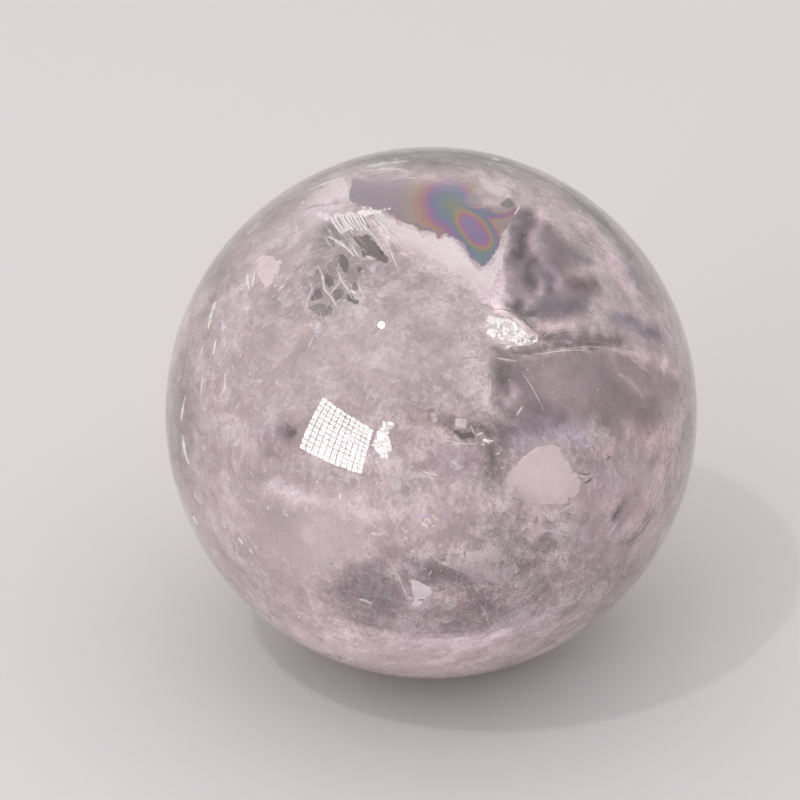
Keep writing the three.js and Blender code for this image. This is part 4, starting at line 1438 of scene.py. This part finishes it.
def faded(opacity, sheet, soft, fade):
    """The opacity of a plate's places, less at a wide soft edge and towards the end of each fade."""
    if soft >= FADING_EDGE:
        opacity = opacity * smooth_step(0, soft, sheet.inward)
    for start, end in fade:
        way = np.subtract(end, start)
        along = ((sheet.x - start[0]) * way[0] + (sheet.y - start[1]) * way[1]) / (way @ way)
        opacity = opacity * smooth_step(1, 0, along)
    return np.where(sheet.at_back, 0, opacity)


def make_faces(front):
    growing = Growing()
    borders = []
    draw = np.random.default_rng(PATCH_SEED)
    rows = [(row, 0) for row in FACES.values()]
    rows += [(random_patch(draw), side_on) for side_on in SIDES for _ in range(PATCHES)]
    for number, (row, side_on) in enumerate(rows):
        outline, tint, opacity, soft, ragged, *fade = row
        ends = np.array(outline)
        if side_on and not beside_front(*ends.mean(axis=0), side_on):
            continue
        begins = side_front if side_on else front
        deep = max(0.45, min(0.9, begins(ends[:, 0], ends[:, 1]).min() - 0.25))
        sheet = Plate(outline, tilted(ends[0], deep), number, ragged)
        opacity = faded(opacity, sheet, soft, fade)
        growing.add(turned(sheet.places, side_on), sheet.faces, tint, opacity, rim=sheet.rim)
        full = BORDER_FULL if ragged < BROKEN_FROM else BORDER_BROKEN
        borders.append(full * smooth_step(0, soft, sheet.inward))
    piece = growing.piece("crack_faces", [face_material(bordered=True)])
    set_values(piece, "border", np.concatenate(borders))


def gap_width(x, y, inward_mm):
    """The air gap's width on a scale of colour orders."""
    # a broad peak
    ax, ay = x - FIRST_PEAK[0], y - FIRST_PEAK[1]
    wide, high = np.where(ax < 0, 4.3, 3.0), np.where(ay < 0, 3.6, 3.9)
    gap = 0.13 + 0.46 * np.exp(-(ax / wide) ** 2 - (ay / high) ** 2)
    # the lower tip
    gap += 0.42 * np.exp(-((x - TIP[0]) ** 2 + (y - TIP[1] + 2) ** 2) / 3.6 ** 2)
    # a leaning ring
    bx, by = x - SECOND_PEAK[0], y - SECOND_PEAK[1]
    long_way, short_way = (bx - by) / 1.414, (bx + by) / 1.414
    ring = (long_way / 2.5) ** 2 + (short_way / 1.6) ** 2
    gap += 0.46 * np.exp(-ring ** 2)
    # along the lower left edge, and in an arc at the right end
    lower = (y < 23.3 - 0.35 * (x + 8)) & (x < 3)
    gap += 0.46 * np.exp(-(inward_mm / 0.7) ** 2) * lower
    arc = np.hypot((x - ARC[0]) / 1.7, y - ARC[1]) - 1
    return gap + 0.3 * np.exp(-(arc / 0.35) ** 2) * (y < ARC[1])


def make_rainbow():
    depth = tilted((0, 22), RAINBOW_DEEP, up=0.05)
    sheet = Plate(RAINBOW, depth, RAINBOW_SEED, ragged=0.25, step=0.3, edge_step=0.2)
    x, y = sheet.x, sheet.y
    # it fades at its right end and along its top
    fades = smooth_step(3.4, 5.8, x) * smooth_step(22.6, 24.0, y)
    fades = np.maximum(fades, smooth_step(24.8, 27.2, y + 0.06 * x))
    clear = 0.88 * smooth_step(0, 0.12, sheet.inward) * (1 - 0.85 * fades)
    growing = Growing()
    growing.add(sheet.places, sheet.faces, opacity=np.where(sheet.at_back, 0, clear), rim=sheet.rim)
    piece = growing.piece("rainbow_crack", [rainbow_material()])
    gap = gap_width(x, y, sheet.inward) + 0.035 * fractal(sheet.places, size_mm=2.4)
    set_values(piece, "gap", gap)


def curve_through(points, step):
    """Points a step apart along a smooth curve through the given ones."""
    points = np.array(points, float)
    padded = np.concatenate([[2 * points[0] - points[1]], points, [2 * points[-1] - points[-2]]])
    fine = []
    for a, b, c, d in zip(padded, padded[1:], padded[2:], padded[3:]):
        number = max(2, int(round(np.linalg.norm(c - b) / step)))
        t = (np.arange(number) / number)[:, None]
        fine.append(0.5 * (2 * b + (c - a) * t + (2 * a - 5 * b + 4 * c - d) * t ** 2
                           + (3 * b - a - 3 * c + d) * t ** 3))
    return np.concatenate([*fine, points[-1:]])


def streak(growing, front, points, width, deep, tint, opacity, seed=0, side_on=0):
    """A thin closed ribbon with soft edges and pointed ends along points, in mm as seen."""
    middle = curve_through(points, 0.3)
    number = len(middle)
    t = np.arange(number) / (number - 1)
    along = unit(np.gradient(middle, axis=0))
    side = np.stack([-along[:, 1], along[:, 0]], axis=1)
    shake = np.array([noise.noise(Vector((p[0] * 1.7, p[1] * 1.7, seed + 0.5))) for p in middle])
    half = 0.65 * width * np.sin(np.pi * t) ** 0.6 * (1 + 0.5 * shake)
    deep = max(0.3, min(deep, front(middle[:, 0], middle[:, 1]).min() - 0.2))
    across, rise, share = np.array(STREAK_SECTION).T
    loops, clear = [], []
    for i in range(1, number - 1):
        x, y = (middle[i] + side[i] * (across[:, None] * half[i])).T
        loops.append(seen(x, y, deep - STREAK_RISE * rise))
        clear.append(share * opacity * (1 + 0.3 * shake[i]))
    first, last = seen(middle[[0, -1], 0], middle[[0, -1], 1], np.full(2, deep))
    places, faces = shell_of_loops(loops, first, last)
    clear = np.clip(np.concatenate([[0], *clear, [0]]), 0, 1)
    edges = np.concatenate([[True], np.tile(np.abs(across) == 1, len(loops)), [True]])
    growing.add(turned(places, side_on), outward(places, faces), tint, clear, rim=edges)


def add_strands(growing, front, draw):
    """Bright strands with dark gaps between them, that hang over the brown pocket."""
    for strand in range(STRANDS):
        start = np.array(FIRST_STRAND) + strand * np.array(NEXT_STRAND) + draw.normal(0, 0.1, 2)
        bend, end = start + (0.45, -1.0), start + (1.4, -2.1) + draw.normal(0, 0.15, 2)
        beside = start + (0.24, -0.2), bend + (0.22, 0), end + (0.2, 0.1)
        streak(growing, front, (start, bend, end), width=0.26, deep=0.5, tint=BRIGHT, opacity=0.95)
        streak(growing, front, beside, width=0.2, deep=0.4, tint=DUSK, opacity=0.5)


def add_short_lines(growing, front, draw, row, side_on=0):
    """Short lines as a row of the table says, but for those beyond the limb or on calm areas."""
    number, low, high, lengths, widths, tint, opacities, lean, spread = row
    for _ in range(number):
        x, y = draw.uniform(low[0], high[0]), draw.uniform(low[1], high[1])
        if math.hypot(x, y) > LINES_WITHIN:
            continue
        here = np.array([x]), np.array([y])
        if side_on == 0 and any(inward(outline)(*here)[0] > -0.3 for outline in CALM_AREAS):
            continue
        if side_on and not beside_front(x, y, side_on):
            continue
        turn = math.radians(lean + draw.normal(0, spread))
        reach = draw.uniform(*lengths)
        end = (x + math.sin(turn) * reach, y - math.cos(turn) * reach)
        middle = ((x + end[0]) / 2 + draw.normal(0, 0.08) * reach, (y + end[1]) / 2)
        streak(growing, side_front if side_on else front, ((x, y), middle, end), draw.uniform(*widths),
               draw.uniform(0.4, 1.5), tint, draw.uniform(*opacities), side_on=side_on)


def make_streaks(front):
    """Edges of healed cracks: bright and dusky hair lines."""
    growing = Growing()
    for number, row in enumerate(STREAKS):
        streak(growing, front, *row, seed=number)
    draw = np.random.default_rng(LINE_SEED)
    add_strands(growing, front, draw)
    for row in SHORT_LINES:
        add_short_lines(growing, front, draw, row)
    for side_on in SIDES:
        for row in SIDE_LINES:
            add_short_lines(growing, front, draw, row, side_on)
    growing.piece("hair_cracks", [face_material()])


def facing_softbox(x, y, deep):
    """The place in the stone seen at x, y, and the normal of a mirror there that shows the soft box."""
    places = seen(x, y, deep)
    bent = bent_sight(x, y)[1]
    to_eye = -(bent[:, :1] * RIGHT + bent[:, 1:2] * UP + bent[:, 2:] * BACK)
    skin = unit(places - BALL_CENTRE)
    to_light = unit(SOFTBOX_MIDDLE - places)
    sideways = (to_light - np.sum(to_light * skin, axis=1, keepdims=True) * skin) / QUARTZ_IOR
    to_light = sideways + skin * np.sqrt(1 - np.sum(sideways ** 2, axis=1, keepdims=True))
    return places, unit(to_eye + to_light)


def make_flakes():
    """Mirror-like flakes that throw the light of the soft box back, in clusters and alone."""
    draw = np.random.default_rng(FLAKE_SEED)
    spots = [np.array(SPARKS)]
    for outline, per_mm2, low, high in GLINTS:
        ends = np.array(outline)
        area = np.ptp(ends[:, 0]) * np.ptp(ends[:, 1])
        points = draw.uniform(ends.min(axis=0), ends.max(axis=0), (int(area * per_mm2), 2))
        points = points[within(points, ends)]
        spots.append(np.column_stack([points, draw.uniform(low, high, len(points))]))
    x, y, width = np.concatenate(spots).T
    deep = draw.uniform(0.22, 0.30, len(x)) + 0.3 * width
    places, normals = facing_softbox(x, y, deep)
    normals = unit(normals + draw.normal(0, 0.02, normals.shape))
    growing = Growing()
    growing.add(*shards_at(draw, places, normals, width * MM / 2))
    skin = grain_material("mirror_flake", (0.97, 0.93, 0.94), 0.22, 0.5)
    growing.piece("mirror_flakes", [skin], smooth=False)


def make_camera():
    place = BALL_CENTRE + BACK * CAMERA_DISTANCE
    right = (BALL_AT_PX[0] - PICTURE_PX / 2) / FOCAL_PX * CAMERA_DISTANCE
    down = (BALL_AT_PX[1] - PICTURE_PX / 2) / FOCAL_PX * CAMERA_DISTANCE
    aim = BALL_CENTRE - RIGHT * right + UP * down
    data = bpy.data.cameras.new("camera")
    data.lens = LENS
    data.sensor_width = SENSOR
    data.clip_start = 0.01
    data.clip_end = 20
    scene.camera = new_object("camera", data)
    scene.camera.location = place
    scene.camera.rotation_euler = Vector(aim - place).to_track_quat("-Z", "Y").to_euler()


def make_sheet(name, corners, skin):
    """A flat sheet of the studio."""
    mesh = bpy.data.meshes.new(name)
    mesh.from_pydata(corners, [], [(0, 1, 2, 3)])
    mesh.uv_layers.new(name="UVMap")
    for loop, corner in zip(mesh.uv_layers[0].data, CORNERS):
        loop.uv = [(part + 1) / 2 for part in corner]
    mesh.materials.append(skin)
    sheet = new_object(name, mesh)
    return sheet


def make_floor():
    look = new_look("pale_floor")
    skin = look.node("BsdfPrincipled", {"Base Color": FLOOR_COLOUR, "Roughness": 0.7})
    corners = [(FLOOR_HALF * a, FLOOR_HALF * b, 0) for a, b in CORNERS]
    floor = make_sheet("floor", corners, look.finish(Surface=skin))
    # a hair below the foot
    floor.location.z = -0.1 * MM


def make_softbox():
    """The lit cloth of a soft box with a fine grid, at the left front."""
    look = new_look("softbox_light")
    grid = {"Vector": look.node("TexCoord", output="UV"), "Scale": SOFTBOX_CELLS,
            "Brick Width": 1, "Row Height": 1, "Mortar Size": 0.14, "Mortar Smooth": 0.3,
            "Color1": SOFTBOX_CLOTH, "Color2": SOFTBOX_CLOTH, "Mortar": (0.04, 0.035, 0.037, 1)}
    cloth = look.node("TexBrick", grid, offset=0)
    glow = look.node("Emission", {"Color": cloth, "Strength": SOFTBOX_LIGHT})
    corners = [SOFTBOX_MIDDLE + SOFTBOX_ACROSS / 2 * a + SOFTBOX_UP / 2 * b for a, b in CORNERS]
    make_sheet("softbox", corners, look.finish(Surface=glow))


def make_lamp():
    """A small round lamp above the left front, that gives the bright dot."""
    data = bpy.data.lights.new("overhead", "AREA")
    data.shape = "DISK"
    data.size = 0.045
    data.energy = 1.8
    lamp = new_object("overhead", data)
    lamp.location = LAMP_AIM + LAMP_TOWARDS
    lamp.rotation_euler = Vector(-LAMP_TOWARDS).to_track_quat("-Z", "Y").to_euler()


def make_world():
    """Soft light from all round, more of it from high up, and as bright as the floor low down."""
    scene.world = bpy.data.worlds.new("world")
    scene.world.cycles.sampling_method = "NONE"
    look = Look(scene.world)
    height = look.node("SeparateXYZ", {0: look.node("TexCoord", output="Generated")}, "Z")
    strength = look.ranged(height, (0.0, 0.7), (HORIZON_LIGHT, ZENITH_LIGHT))
    light = look.node("Background", {"Color": WORLD_COLOUR, "Strength": strength})
    look.finish("OutputWorld", Surface=light)


make_camera()
make_floor()
make_softbox()
make_lamp()
make_world()
make_ball()
milky = milky_field()
make_milky_part(milky)
make_specks(milky)
make_healed_cracks(milky)
front = milky_front(milky)
make_faces(front)
make_rainbow()
make_streaks(front)
make_flakes()

scene.view_settings.view_transform = "Standard"
scene.cycles.max_bounces = 24
scene.cycles.transmission_bounces = 16
scene.cycles.diffuse_bounces = 6
scene.cycles.glossy_bounces = 6
scene.cycles.transparent_max_bounces = 32
